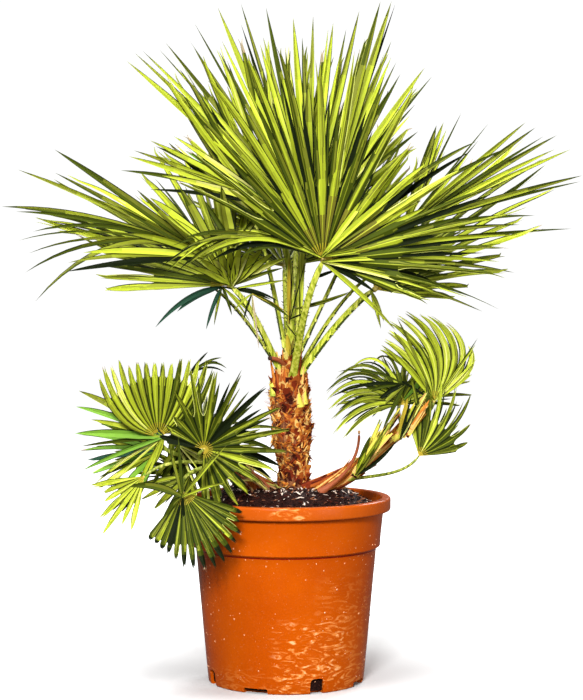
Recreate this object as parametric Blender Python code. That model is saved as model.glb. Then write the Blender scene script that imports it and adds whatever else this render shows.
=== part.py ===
# Potted European fan palm: one trunk with a crown of fan fronds and two suckers, in a nursery pot.
# Metres, +Z up. The origin is the centre of the pot's flat underside, and -Y is the front.
import itertools
import math
import random

import bmesh
import bpy
from mathutils import Vector
from mathutils.bvhtree import BVHTree

UP = Vector((0.0, 0.0, 1.0))
GAP = 0.0003

# Pot: a 15 litre nursery pot, 32 cm across its rolled rim, with arched holes and low wide notches
# cut by turns through the foot of its wall.
POT_HEIGHT = 0.282
RIM_RADIUS = 0.160
RIM_DROP = 0.020
BAND_TOP_RADIUS = 0.1495
BAND_FOOT_RADIUS = 0.1440
STEP_HEIGHT = 0.210
STEP_DROP = 0.005
BODY_TOP_RADIUS = 0.1380
BASE_RADIUS = 0.1190
POT_WALL = 0.0030
ROLL = 0.0030
LIP = 0.0020
FOOT_BEVEL = 0.0020
POT_SIDES = 48
DRAIN_COUNT = 4
ARCH_WIDTH = 0.021
ARCH_HEIGHT = 0.023
NOTCH_WIDTH = 0.038
NOTCH_HEIGHT = 0.008
DRAIN_DEPTH = 0.026
DRAIN_BELOW = 0.010
ARCH_CROWN = 0.6
ARCH_STEPS = 6
NOTCH_SIDE = 0.002
NOTCH_TAPER = 0.8
DRAIN_TOP = 0.030
ARCH_TURN = -67.5
NOTCH_TURN = -112.5

# Soil: flat where the stems stand, falling to just under the rim.
SOIL_TOP = 0.2960
SOIL_PLATEAU = 0.078
SOIL_EDGE = 0.2680
SOIL_SLOPE = (0.72, 0.45, 0.20)

# Trunk: fibrous, a little wider at its shoulder than at its foot, leaning left as it rises.
TRUNK_FOOT = (0.0125, 0.004)
TRUNK_SHOULDER = (0.0045, 0.004)
TIP_LEAN = 0.10
TRUNK_FOOT_RADIUS = 0.0270
TRUNK_WAIST_RADIUS = 0.0240
TRUNK_BODY_RADIUS = 0.0315
NECK_RADIUS = 0.0190
TRUNK_TIP_RADIUS = 0.0090
WAIST_HEIGHT = 0.324
FULL_HEIGHT = 0.366
SHOULDER_HEIGHT = 0.440
NECK_HEIGHT = 0.472
TRUNK_TIP_HEIGHT = 0.500
TRUNK_GIRTH = (
    (SOIL_TOP, WAIST_HEIGHT, TRUNK_FOOT_RADIUS, TRUNK_WAIST_RADIUS),
    (WAIST_HEIGHT, FULL_HEIGHT, TRUNK_WAIST_RADIUS, TRUNK_BODY_RADIUS),
    (FULL_HEIGHT, SHOULDER_HEIGHT, TRUNK_BODY_RADIUS, TRUNK_BODY_RADIUS),
    (SHOULDER_HEIGHT, NECK_HEIGHT, TRUNK_BODY_RADIUS, NECK_RADIUS),
    (NECK_HEIGHT, TRUNK_TIP_HEIGHT, NECK_RADIUS, TRUNK_TIP_RADIUS),
)
TRUNK_SIDES = 14
TRUNK_RINGS = 17
SCALE_RELIEF = 0.0022

# Sucker stems: foot, middle and tip points, foot and tip radius.
LEFT_STEM = ((-0.052, -0.022), (-0.062, -0.034, 0.318), (-0.080, -0.040, 0.338), 0.015, 0.010)
RIGHT_STEM = ((0.052, -0.030), (0.108, -0.040, 0.330), (0.176, -0.044, 0.392), 0.015, 0.0085)
STEM_SIDES = 10
STEM_RINGS = 8
STEM_TAPER = 0.7
STEM_NECK = 0.72
STEM_POINT = 0.7
STEM_UNBEND = 2.5

# Fronds: blade thickness and pleat depth against reach, and how a leaflet bends and is cut free.
THICKNESS_SHARE = 0.0112
THIN_TIP = 0.45
PLEAT_SHARE = 0.0090
FOLD_SHARE = 0.6
WALK_STEPS = 8
PULL_POWER = 1.6
SIDE_POWER = 2.5
SLOT_SHARE = 0.80
SHORTEST = 1.25
RIB_REACH = 1.02
HUB_THIN = 0.8
LIFT_JITTER = 0.20
TURN_JITTER = 0.05
CLEARANCE = 0.0006
TEST_START = 0.10
CORE_PAST = 0.20

# Stalks: where their curve turns, their width from foot to head against the named size, and the
# slim point just short of the hub.
PETIOLE_SIDES = 6
PETIOLE_RINGS = 6
STALK_LEAVES = 0.36
STALK_ARRIVES = 0.30
STALK_FOOT = 1.25
STALK_HEAD = 0.80
STALK_FLATNESS = 0.7
POINT_LENGTH = 0.016
POINT_RADIUS = 0.0004
SEEK_STEP = 0.0002
SEEK_LIMIT = 600

# Ways that a leaflet may give way to what is already there: sideways turn and lift.
GIVE = [(0.0, 0.0)]
for amount in (0.12, 0.24, 0.38):
    GIVE += [(0.0, amount), (0.0, -amount), (amount, 0.0), (-amount, 0.0)]
    GIVE += [(amount, amount), (-amount, amount), (amount, -amount), (-amount, -amount)]
SHORTER = (1.0, 0.86, 0.70, 0.52)

# Each frond: the stem and height where its stalk starts, its hub, the way the blade points and
# faces (compass turn and rise in degrees), reach, spread, leaflets, the pull that bends them, how
# much shorter the leaflets at its two sides are, dips (angle, width, depth) in their lengths, and
# stations (share of the free length, share of the width) along a leaflet.
# Compass turn 0 is +X, 90 is +Y, 270 is the front.
PLAIN = dict(rise=0.9, cup=0, wrap=0, pull=(0.0, 0.0, -0.30), split=0.24, wide=0.0185, sides=(0.3, 0.3),
             dips=(), stations=((0.40, 1.0), (0.74, 0.62)))
SUCKER = dict(PLAIN, rise=0.35, pull=(0.0, 0.0, -0.15), split=0.36, wide=0.0125, sides=(0.22, 0.22))
FRONDS = [
    dict(PLAIN, name="front", stem="trunk", height=0.438, hub=(0.054, -0.135, 0.641), stalk=0.0062,
         aim=(345, 63), face=(90, 12), reach=0.374, spread=246, count=27, cup=-6, wrap=-15, split=0.30,
         pull=(0.0, 0.06, -0.18), sides=(0.80, 0.06), dips=((-18, 17, 0.42), (87, 14, 0.26)), seed=3),
    dict(PLAIN, name="left", stem="trunk", height=0.446, hub=(-0.085, -0.030, 0.604), stalk=0.0052,
         aim=(150, 34), face=(284, 42), reach=0.384, spread=116, count=15, cup=2, split=0.30,
         pull=(0.0, 0.0, -0.22), sides=(0.20, 0.30), seed=5),
    dict(PLAIN, name="right", stem="trunk", height=0.444, hub=(0.133, -0.030, 0.598), stalk=0.0070,
         aim=(5, 37), face=(229, 46), reach=0.384, spread=136, count=16, cup=2, split=0.30,
         pull=(0.0, 0.0, -0.12), sides=(0.30, 0.40), seed=7),
    dict(PLAIN, name="centre_left", stem="trunk", height=0.480, hub=(-0.006, -0.050, 0.674), stalk=0.0058,
         aim=(196, 68), face=(108, 8), reach=0.372, spread=78, count=12, cup=-2, wrap=-16,
         pull=(0.0, 0.0, -0.02), split=0.34, wide=0.0160, sides=(0.14, 0.08), seed=11),
    dict(PLAIN, name="centre_right", stem="trunk", height=0.482, hub=(0.032, -0.010, 0.688), stalk=0.0058,
         aim=(350, 77), face=(62, 10), reach=0.358, spread=84, count=12, cup=4, wrap=14,
         pull=(0.0, 0.0, -0.02), split=0.34, sides=(0.26, 0.12), seed=13),
    dict(PLAIN, name="high_back", stem="trunk", height=0.484, hub=(0.016, 0.112, 0.660), stalk=0.0052,
         aim=(88, 60), face=(268, 30), reach=0.325, spread=122, count=14, cup=-3, wrap=-12, split=0.20,
         pull=(0.0, 0.0, -0.12), seed=17),
    dict(PLAIN, name="side_right", stem="trunk", height=0.468, hub=(0.092, 0.046, 0.650), stalk=0.0048,
         aim=(24, 63), face=(204, 27), reach=0.300, spread=140, count=14,
         pull=(0.0, 0.0, -0.12), seed=83),
    dict(PLAIN, name="side_left", stem="trunk", height=0.468, hub=(-0.052, 0.074, 0.704), stalk=0.0048,
         aim=(150, 62), face=(330, 28), reach=0.272, spread=140, count=14,
         pull=(0.0, 0.0, -0.12), seed=89),
    dict(PLAIN, name="back_left", stem="trunk", height=0.450, hub=(-0.134, 0.100, 0.612), stalk=0.0044,
         aim=(157, 27), face=(337, 63), reach=0.315, spread=150, count=15, cup=2,
         pull=(0.0, 0.0, -0.42), seed=19),
    dict(PLAIN, name="back_right", stem="trunk", height=0.450, hub=(0.136, 0.104, 0.620), stalk=0.0044,
         aim=(27, 30), face=(207, 60), reach=0.312, spread=148, count=15, cup=2,
         pull=(0.0, 0.0, -0.24), seed=23),
    dict(PLAIN, name="back", stem="trunk", height=0.448, hub=(-0.002, 0.172, 0.632), stalk=0.0050,
         aim=(91, 27), face=(271, 63), reach=0.290, spread=150, count=15, cup=2,
         pull=(0.0, 0.0, -0.28), seed=29),
    dict(SUCKER, name="cup", stem="left_stem", height=0.332, hub=(-0.190, -0.076, 0.380), stalk=0.0034,
         aim=(160, 84), face=(96, 6), reach=0.136, spread=158, count=15, cup=-20,
         pull=(0.0, 0.18, 1.10), split=0.60, wide=0.0098, sides=(0.0, 0.0), seed=41),
    dict(SUCKER, name="star", stem="left_stem", height=0.330, hub=(-0.120, -0.134, 0.366), stalk=0.0034,
         aim=(350, 34), face=(272, -10), reach=0.152, spread=264, count=17, cup=8,
         pull=(0.0, 0.0, -0.18), sides=(0.34, 0.20), seed=43),
    dict(SUCKER, name="outer_left", stem="left_stem", height=0.328, hub=(-0.188, -0.036, 0.356), stalk=0.0032,
         aim=(180, -2), face=(290, 50), reach=0.146, spread=150, count=10, seed=47),
    dict(SUCKER, name="low_left", stem="left_stem", height=0.322, hub=(-0.210, -0.094, 0.322), stalk=0.0030,
         aim=(190, -42), face=(276, 40), reach=0.120, spread=84, count=7, seed=53),
    dict(SUCKER, name="inner_left", stem="left_stem", height=0.312, hub=(-0.144, -0.046, 0.320), stalk=0.0028,
         aim=(205, -22), face=(280, 40), reach=0.092, spread=150, count=9, seed=57),
    dict(SUCKER, name="over_rim", stem="left_stem", height=0.316, hub=(-0.150, -0.146, 0.304), stalk=0.0032,
         rise=0.60, aim=(300, -62), face=(262, 14), reach=0.128, spread=196, count=16, cup=4,
         pull=(0.0, 0.0, -0.10), split=0.40, sides=(0.34, 0.34), seed=59),
    dict(SUCKER, name="left_rear", stem="left_stem", height=0.326, hub=(-0.130, 0.052, 0.372), stalk=0.0032,
         aim=(140, 30), face=(320, 58), reach=0.140, spread=210, count=12, cup=6,
         pull=(0.0, 0.0, -0.26), seed=61),
    dict(SUCKER, name="tall_right", stem="right_stem", height=0.402, hub=(0.222, -0.050, 0.430), stalk=0.0036,
         aim=(150, 80), face=(94, 10), reach=0.168, spread=118, count=12, cup=-4,
         pull=(-0.60, -0.12, 0.0), split=0.44, wide=0.0145, sides=(0.24, 0.20), seed=67),
    dict(SUCKER, name="arch_right", stem="right_stem", height=0.400, hub=(0.176, -0.086, 0.428), stalk=0.0032,
         aim=(190, 48), face=(290, 30), reach=0.164, spread=116, count=11,
         pull=(-0.25, 0.0, -1.60), split=0.28, stations=((0.28, 1.0), (0.54, 0.90), (0.78, 0.56)), seed=71),
    dict(SUCKER, name="low_right", stem="right_stem", height=0.312, hub=(0.197, -0.092, 0.352), stalk=0.0024,
         aim=(10, 54), face=(276, 10), reach=0.132, spread=104, count=8,
         pull=(0.15, 0.0, 0.10), split=0.42, seed=73),
    dict(SUCKER, name="rear_right", stem="right_stem", height=0.396, hub=(0.176, 0.040, 0.420), stalk=0.0032,
         aim=(70, 34), face=(250, 56), reach=0.136, spread=200, count=12, cup=6,
         pull=(0.0, 0.0, -0.30), seed=79),
]

# Bare stalks: a cut stub on the trunk and a dry one from the soil (start, middle, end, radii).
STUB = ((0.004, -0.002, 0.474), (-0.010, -0.018, 0.490), (-0.026, -0.030, 0.494), 0.0036, 0.0030)
DRY_STALK = ((0.050, -0.062, SOIL_TOP), (0.096, -0.068, 0.336), (0.109, -0.070, 0.388), 0.0034, 0.0018)
BARE_RINGS = 7

# Spear: the youngest leaf, still folded (share of its height, share of its radius).
SPEAR_HEIGHT = 0.800
SPEAR_RADIUS = 0.0060
SPEAR_LEAN = (0.030, 0.010)
SPEAR_SHAPE = ((0.0, 1.0), (0.3, 0.85), (0.6, 1.1), (0.85, 0.7), (1.0, 0.08))

COLOURS = {
    "pot": ((0.53, 0.085, 0.012), 0.32),
    "soil": ((0.020, 0.010, 0.006), 0.95),
    "trunk": ((0.30, 0.11, 0.030), 0.90),
    "stalk": ((0.36, 0.42, 0.045), 0.55),
    "blade": ((0.20, 0.27, 0.025), 0.50),
}


def compass(turn, rise=0.0):
    flat = math.cos(math.radians(rise))
    return Vector((flat * math.cos(math.radians(turn)), flat * math.sin(math.radians(turn)),
                   math.sin(math.radians(rise))))


def make_material(name):
    colour, roughness = COLOURS[name]
    material = bpy.data.materials.new(name)
    material.use_nodes = True
    shader = material.node_tree.nodes["Principled BSDF"]
    shader.inputs["Base Color"].default_value = (*colour, 1.0)
    shader.inputs["Roughness"].default_value = roughness
    shader.inputs["Metallic"].default_value = 0.0
    material.diffuse_color = (*colour, 1.0)
    return material


def add_object(name, points, faces, kind, sharp=40.0):
    mesh = bpy.data.meshes.new(name)
    mesh.from_pydata([tuple(point) for point in points], [], faces)
    shell = bmesh.new()
    shell.from_mesh(mesh)
    bmesh.ops.recalc_face_normals(shell, faces=shell.faces[:])
    shell.to_mesh(mesh)
    shell.free()
    mesh.shade_smooth()
    mesh.set_sharp_from_angle(angle=math.radians(sharp))
    mesh.materials.append(bpy.data.materials.get(kind) or make_material(kind))
    piece = bpy.data.objects.new(name, mesh)
    bpy.context.collection.objects.link(piece)
    return piece


def turned(profile, sides):
    # A closed profile of (radius, height) turned about Z. A radius of 0 is one point on the axis.
    points = []
    rows = []
    for radius, height in profile:
        if radius == 0.0:
            rows.append([len(points)] * sides)
            points.append(Vector((0.0, 0.0, height)))
            continue
        rows.append(list(range(len(points), len(points) + sides)))
        for side in range(sides):
            turn = 2.0 * math.pi * side / sides
            points.append(Vector((radius * math.cos(turn), radius * math.sin(turn), height)))
    faces = []
    for low, high in zip(rows, rows[1:]):
        for side in range(sides):
            after = (side + 1) % sides
            ring = []
            for corner in (low[side], low[after], high[after], high[side]):
                if corner not in ring:
                    ring.append(corner)
            faces.append(ring)
    return points, faces


def tube(rings):
    # Rings of points, joined in order, with both ends closed.
    sides = len(rings[0])
    points = [point for ring in rings for point in ring]
    faces = []
    for row in range(len(rings) - 1):
        for side in range(sides):
            after = (side + 1) % sides
            start = row * sides
            faces.append((start + side, start + after, start + sides + after))
            faces.append((start + side, start + sides + after, start + sides + side))
    faces.append(tuple(range(sides)))
    faces.append(tuple(range(len(points) - sides, len(points))))
    return points, faces


def tree_of(points, faces):
    return BVHTree.FromPolygons([tuple(point) for point in points], faces)


# Pot and soil.

def body_radius(height):
    top = STEP_HEIGHT - STEP_DROP
    return BASE_RADIUS + (BODY_TOP_RADIUS - BASE_RADIUS) * height / top


def pot_profile():
    rim_foot = POT_HEIGHT - RIM_DROP
    outer = [
        (0.0, 0.0),
        (BASE_RADIUS - FOOT_BEVEL, 0.0),
        (BASE_RADIUS, FOOT_BEVEL),
        (body_radius(DRAIN_TOP), DRAIN_TOP),
        (BODY_TOP_RADIUS, STEP_HEIGHT - STEP_DROP),
        (BAND_FOOT_RADIUS, STEP_HEIGHT),
        (BAND_TOP_RADIUS, rim_foot),
        (RIM_RADIUS - ROLL, rim_foot),
        (RIM_RADIUS, rim_foot + ROLL),
        (RIM_RADIUS, POT_HEIGHT - ROLL),
        (RIM_RADIUS - ROLL, POT_HEIGHT),
    ]
    inner = [
        (BAND_TOP_RADIUS - POT_WALL + LIP, POT_HEIGHT),
        (BAND_TOP_RADIUS - POT_WALL, POT_HEIGHT - LIP),
        (BAND_FOOT_RADIUS - POT_WALL, STEP_HEIGHT),
        (BODY_TOP_RADIUS - POT_WALL, STEP_HEIGHT - STEP_DROP),
        (BASE_RADIUS - POT_WALL, POT_WALL),
        (0.0, POT_WALL),
    ]
    return outer + inner


def drain_cutter(name, outline, turn):
    # An outline across and up, pushed through the foot of the wall along its radius.
    out = compass(turn)
    across = Vector((-out.y, out.x, 0.0))
    rings = []
    for distance in (BASE_RADIUS - DRAIN_DEPTH * 0.5, BASE_RADIUS + DRAIN_DEPTH * 0.5):
        rings.append([out * distance + across * x + UP * z for x, z in outline])
    points, faces = tube(rings)
    cutter = add_object(name, points, faces, "pot")
    cutter.hide_render = True
    cutter.display_type = "WIRE"
    return cutter


def make_pot():
    points, faces = turned(pot_profile(), POT_SIDES)
    pot = add_object("pot", points, faces, "pot", sharp=30.0)
    half = ARCH_WIDTH / 2.0
    crown = half * ARCH_CROWN
    arch = [(half, -DRAIN_BELOW)]
    for step in range(ARCH_STEPS + 1):
        turn = math.pi * step / ARCH_STEPS
        arch.append((half * math.cos(turn), ARCH_HEIGHT - crown + crown * math.sin(turn)))
    arch.append((-half, -DRAIN_BELOW))
    wide = NOTCH_WIDTH / 2.0
    top = wide * NOTCH_TAPER
    notch = [(wide, -DRAIN_BELOW), (wide, NOTCH_SIDE), (top, NOTCH_HEIGHT),
             (-top, NOTCH_HEIGHT), (-wide, NOTCH_SIDE), (-wide, -DRAIN_BELOW)]
    for place in range(DRAIN_COUNT):
        turn = 360.0 * place / DRAIN_COUNT
        for label, outline, first in (("arch", arch, ARCH_TURN), ("notch", notch, NOTCH_TURN)):
            cutter = drain_cutter(f"{label}_cutter_{place + 1}", outline, first + turn)
            cut = pot.modifiers.new(cutter.name, "BOOLEAN")
            cut.operation = "DIFFERENCE"
            cut.object = cutter
            cut.solver = "EXACT"
    return points, faces


def make_soil():
    inside = POT_WALL + GAP
    profile = [
        (0.0, inside),
        (BASE_RADIUS - inside - FOOT_BEVEL, inside),
        (BODY_TOP_RADIUS - inside, STEP_HEIGHT - STEP_DROP + GAP),
        (BAND_FOOT_RADIUS - inside, STEP_HEIGHT + GAP * 2.0),
    ]
    share = (SOIL_EDGE - STEP_HEIGHT) / (POT_HEIGHT - LIP - STEP_HEIGHT)
    edge = BAND_FOOT_RADIUS + (BAND_TOP_RADIUS - BAND_FOOT_RADIUS) * share - inside
    profile.append((edge, SOIL_EDGE))
    for step in SOIL_SLOPE:
        radius = SOIL_PLATEAU + (edge - SOIL_PLATEAU) * step
        rise = (SOIL_TOP - SOIL_EDGE) * (0.5 + 0.5 * math.cos(math.pi * step))
        profile.append((radius, SOIL_EDGE + rise))
    profile.append((SOIL_PLATEAU, SOIL_TOP))
    profile.append((0.0, SOIL_TOP))
    points, faces = turned(profile, POT_SIDES)
    add_object("soil", points, faces, "soil")
    return points, faces


# Trunk and sucker stems.

def trunk_centre(height):
    share = min(1.0, (height - SOIL_TOP) / (SHOULDER_HEIGHT - SOIL_TOP))
    foot = Vector((*TRUNK_FOOT, 0.0))
    shoulder = Vector((*TRUNK_SHOULDER, 0.0))
    centre = foot.lerp(shoulder, share)
    if height > SHOULDER_HEIGHT:
        centre.x += TIP_LEAN * (height - SHOULDER_HEIGHT)
    return Vector((centre.x, centre.y, height))


def trunk_radius(height):
    # The root flare narrows to a waist, the fibres swell above it, and the tip tapers away.
    for low, high, start, end in TRUNK_GIRTH:
        if height <= high:
            share = max(0.0, height - low) / (high - low)
            return start + (end - start) * share
    return TRUNK_TIP_RADIUS


def make_trunk():
    rings = []
    bottom = SOIL_TOP + GAP
    for row in range(TRUNK_RINGS):
        height = bottom + (TRUNK_TIP_HEIGHT - bottom) * row / (TRUNK_RINGS - 1)
        relief = SCALE_RELIEF if 0 < row < TRUNK_RINGS - 1 else 0.0
        ring = []
        for side in range(TRUNK_SIDES):
            turn = 2.0 * math.pi * side / TRUNK_SIDES
            scale = relief if (side + row) % 2 else -relief
            ring.append(trunk_centre(height) + compass(math.degrees(turn)) * (trunk_radius(height) + scale))
        rings.append(ring)
    points, faces = tube(rings)
    add_object("trunk", points, faces, "trunk", sharp=50.0)
    return points, faces


def curve_through(start, middle, end, share):
    # A quadratic curve that passes through the middle point half way.
    control = middle * 2.0 - (start + end) * 0.5
    point = start * (1 - share) ** 2 + control * (2 * share * (1 - share)) + end * share ** 2
    heading = (control - start) * (2 * (1 - share)) + (end - control) * (2 * share)
    return point, heading.normalized()


def stem_radius(share, foot_radius, tip_radius):
    if share > STEM_NECK:
        return tip_radius * (1.0 - STEM_POINT * (share - STEM_NECK) / (1.0 - STEM_NECK))
    return foot_radius + (tip_radius - foot_radius) * (share / STEM_NECK) ** STEM_TAPER


def stem_rings(foot, middle, end, foot_radius, tip_radius):
    start = Vector((*foot, SOIL_TOP + GAP))
    middle = Vector(middle)
    end = Vector(end)
    rings = []
    for row in range(STEM_RINGS):
        share = row / (STEM_RINGS - 1)
        point, heading = curve_through(start, middle, end, share)
        # The first ring is the flat cut at ground level, and the next ones turn into the stem's line.
        plane = UP.lerp(heading, min(1.0, share * STEM_UNBEND)).normalized()
        side = plane.cross(Vector((0.0, 1.0, 0.0))).normalized()
        front = plane.cross(side)
        radius = stem_radius(share, foot_radius, tip_radius)
        ring = []
        for corner in range(STEM_SIDES):
            turn = 2.0 * math.pi * corner / STEM_SIDES
            ring.append(point + (side * math.cos(turn) + front * math.sin(turn)) * radius)
        rings.append(ring)
    return rings


def make_stem(name, sizes):
    points, faces = tube(stem_rings(*sizes))
    add_object(name, points, faces, "trunk")
    return points, faces


# Fronds.

def blade_frame(frond):
    axis = compass(*frond["aim"])
    face = compass(*frond["face"])
    normal = (face - axis * axis.dot(face)).normalized()
    return Vector(frond["hub"]), axis, normal, axis.cross(normal)


def walk(frond, angle, distance, turn=0.0, lift=0.0):
    # Follows a leaflet's rib out from the hub: point, across and normal at a distance.
    hub, axis, normal, side = blade_frame(frond)
    flat = axis * math.cos(angle) + side * math.sin(angle)
    beside = side * math.cos(angle) - axis * math.sin(angle)
    cup = math.radians(frond["cup"] + frond["wrap"] * math.sin(angle) ** 2)
    start = flat * math.cos(cup) + normal * math.sin(cup)
    pull = Vector(frond["pull"])
    point = hub.copy()
    across = beside
    for step in range(WALK_STEPS):
        along = distance * (step + 0.5) / WALK_STEPS / frond["reach"]
        free = max(0.0, along - frond["split"])
        bend = normal * (lift * free) + beside * (turn * free)
        heading = (start + bend + pull * along ** PULL_POWER).normalized()
        across = (across - heading * across.dot(heading)).normalized()
        point = point + heading * (distance / WALK_STEPS)
    return point, across, across.cross(heading)


def leaflet_angles(frond):
    # Edge angles of the joined blade from one side to the other, and each leaflet's own habit:
    # its full length, its sideways turn and its lift.
    chance = random.Random(frond["seed"])
    half = math.radians(frond["spread"]) / 2.0
    count = frond["count"]
    edges = [-half + 2.0 * half * index / count for index in range(count + 1)]
    habits = []
    for index in range(count):
        middle = (edges[index] + edges[index + 1]) / 2.0
        share = abs(middle) / half
        shorter = frond["sides"][0 if middle < 0.0 else 1] * share ** SIDE_POWER
        for place, width, depth in frond["dips"]:
            shorter += depth * math.exp(-((math.degrees(middle) - place) / width) ** 2)
        length = frond["reach"] * max((1.0 - shorter) * chance.uniform(0.92, 1.0), SHORTEST * frond["split"])
        turn = chance.uniform(-TURN_JITTER, TURN_JITTER)
        lift = chance.uniform(-LIFT_JITTER, LIFT_JITTER)
        habits.append((length, turn, lift))
    return edges, habits


def leaflet_stations(frond, left, right, length, turn, lift, swell=0.0):
    # The free part of a leaflet: rings of left, top, right and bottom, and the tip point.
    middle = (left + right) / 2.0
    thick = frond["reach"] * THICKNESS_SHARE / 2.0 + swell
    split = frond["split"] * frond["reach"]
    rings = []
    for share, width_share in frond["stations"]:
        distance = split + (length - split) * share
        point, across, normal = walk(frond, middle, distance, turn, lift)
        width = min(frond["wide"] * width_share, distance * (right - left) * SLOT_SHARE) / 2.0 + swell
        fold = normal * (frond["reach"] * PLEAT_SHARE * FOLD_SHARE * (1.0 - share))
        depth = normal * (thick * (1.0 - THIN_TIP * share))
        rings.append((point - across * width - fold, point + fold + depth,
                      point + across * width - fold, point + fold - depth))
    tip = walk(frond, middle, length, turn, lift)[0]
    return rings, tip


def pleated(frond, angle, distance, side):
    # A point of the joined blade, on a pleat's ridge (side 1) or in its groove (side -1).
    point, across, normal = walk(frond, angle, distance)
    return point + normal * (side * frond["reach"] * PLEAT_SHARE / 2.0), normal


def tested_leaflet(frond, left, right, length, turn, lift):
    # A slightly swollen copy of the free part, from just past the split, for finding clashes.
    middle = (left + right) / 2.0
    split = frond["split"] * frond["reach"]
    rings, tip = leaflet_stations(frond, left, right, length, turn, lift, CLEARANCE)
    thick = frond["reach"] * THICKNESS_SHARE / 2.0 + CLEARANCE
    rib, normal = pleated(frond, middle, split * RIB_REACH, 1.0)
    root = (pleated(frond, left, split, -1.0)[0], rib + normal * thick,
            pleated(frond, right, split, -1.0)[0], rib - normal * thick)
    share = TEST_START / frond["stations"][0][0]
    rings.insert(0, [corner.lerp(after, share) for corner, after in zip(root, rings[0])])
    points, faces = tube(rings)
    last = len(points)
    points.append(walk(frond, middle, length + CLEARANCE, turn, lift)[0])
    corners = range(last - 4, last)
    faces = faces[:-1] + [(corner, corners[(index + 1) % 4], last) for index, corner in enumerate(corners)]
    return points, faces


def core_body(frond, swell=0.0, reach=1.0):
    # The joined part of the blade as a thick fan from the hub to the splits.
    edges, habits = leaflet_angles(frond)
    thick = frond["reach"] * THICKNESS_SHARE / 2.0 + swell
    split = frond["split"] * frond["reach"] * reach
    hub, axis, normal, side = blade_frame(frond)
    hub = hub - axis * swell
    points = [hub + normal * thick * HUB_THIN, hub - normal * thick * HUB_THIN]
    for index, edge in enumerate(edges):
        base, out = pleated(frond, edge, split, -1.0)
        points += [base + out * thick, base - out * thick]
        if index < len(habits):
            middle = (edge + edges[index + 1]) / 2.0
            base, out = pleated(frond, middle, split * RIB_REACH, 1.0)
            points += [base + out * thick, base - out * thick]
    faces = []
    last = len(points) // 2 - 1
    for index in range(1, last):
        faces.append((0, 2 * index, 2 * index + 2))
        faces.append((1, 2 * index + 3, 2 * index + 1))
    faces.append((0, 1, 3))
    faces.append((0, 3, 2))
    faces.append((0, 2 * last, 2 * last + 1))
    faces.append((0, 2 * last + 1, 1))
    return points, faces, last


def closed_core(frond):
    # The core with its outer edge closed and a little swollen, for finding clashes.
    past = 1.0 + CORE_PAST * (1.0 / frond["split"] - 1.0)
    points, faces, last = core_body(frond, CLEARANCE, past)
    for index in range(1, last):
        faces.append((2 * index, 2 * index + 1, 2 * index + 3))
        faces.append((2 * index, 2 * index + 3, 2 * index + 2))
    return points, faces


def blade_body(frond, leaflets):
    points, faces, last = core_body(frond)
    for index, leaflet in enumerate(leaflets):
        low = 2 * (1 + 2 * index)
        edge_top, edge_low, rib_top, rib_low, next_top, next_low = range(low, low + 6)
        if leaflet is None:
            faces += [(edge_top, edge_low, rib_low), (edge_top, rib_low, rib_top)]
            faces += [(rib_top, rib_low, next_low), (rib_top, next_low, next_top)]
            continue
        rings, tip = leaflet
        first = len(points)
        for ring in rings:
            points += list(ring)
        left, top, right, bottom = range(first, first + 4)
        faces += [(edge_top, left, top), (edge_top, top, rib_top)]
        faces += [(next_top, top, right), (next_top, rib_top, top)]
        faces += [(edge_low, bottom, left), (edge_low, rib_low, bottom)]
        faces += [(next_low, right, bottom), (next_low, bottom, rib_low)]
        faces += [(edge_top, edge_low, left), (next_top, right, next_low)]
        for row in range(len(rings) - 1):
            start = first + 4 * row
            for corner in range(4):
                after = (corner + 1) % 4
                one, two = start + corner, start + after
                if corner in (0, 3):
                    faces += [(one, two, two + 4), (one, two + 4, one + 4)]
                else:
                    faces += [(one, two, one + 4), (two, two + 4, one + 4)]
        end = first + 4 * (len(rings) - 1)
        points.append(tip)
        for corner in range(4):
            faces.append((end + corner, end + (corner + 1) % 4, len(points) - 1))
    return points, faces


def stem_axis(frond):
    # The point on the stem's own axis where the stalk starts.
    height = frond["height"]
    if frond["stem"] == "trunk":
        return trunk_centre(height)
    sizes = LEFT_STEM if frond["stem"] == "left_stem" else RIGHT_STEM
    start = Vector((*sizes[0], SOIL_TOP))
    end = Vector(sizes[2])
    share = (height - start.z) / (end.z - start.z)
    return curve_through(start, Vector(sizes[1]), end, min(max(share, 0.0), 1.0))[0]


def stalk_rings(frond, skipped):
    # A stalk leaves its stem outwards and upwards, and ends in a slim point just short of the hub.
    hub, axis, normal, side = blade_frame(frond)
    start = stem_axis(frond)
    end = hub - axis * (GAP * 1.5)
    span = (end - start).length
    out = ((end - start) * Vector((1.0, 1.0, 0.0)) + UP * span * frond["rise"]).normalized()
    first = start + out * span * STALK_LEAVES
    second = end - axis * span * STALK_ARRIVES
    neck = 1.0 - POINT_LENGTH / span
    shares = [skipped + (neck - skipped) * step / (PETIOLE_RINGS - 1) for step in range(PETIOLE_RINGS)]
    shares.append(1.0)
    rings = []
    for share in shares:
        back = 1.0 - share
        point = start * back ** 3 + first * (3 * back ** 2 * share)
        point = point + second * (3 * back * share ** 2) + end * share ** 3
        heading = (first - start) * back ** 2 + (second - first) * (2 * back * share) + (end - second) * share ** 2
        heading = heading.normalized()
        wide = heading.cross(normal)
        if wide.length < 0.1:
            wide = heading.cross(side)
        wide = wide.normalized()
        deep = wide.cross(heading) * STALK_FLATNESS
        radius = frond["stalk"] * (STALK_FOOT + (STALK_HEAD - STALK_FOOT) * share)
        if share == 1.0:
            radius = POINT_RADIUS
        ring = []
        for corner in range(PETIOLE_SIDES):
            turn = 2.0 * math.pi * corner / PETIOLE_SIDES
            ring.append(point + (wide * math.cos(turn) + deep * math.sin(turn)) * radius)
        rings.append(ring)
    return rings


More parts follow.
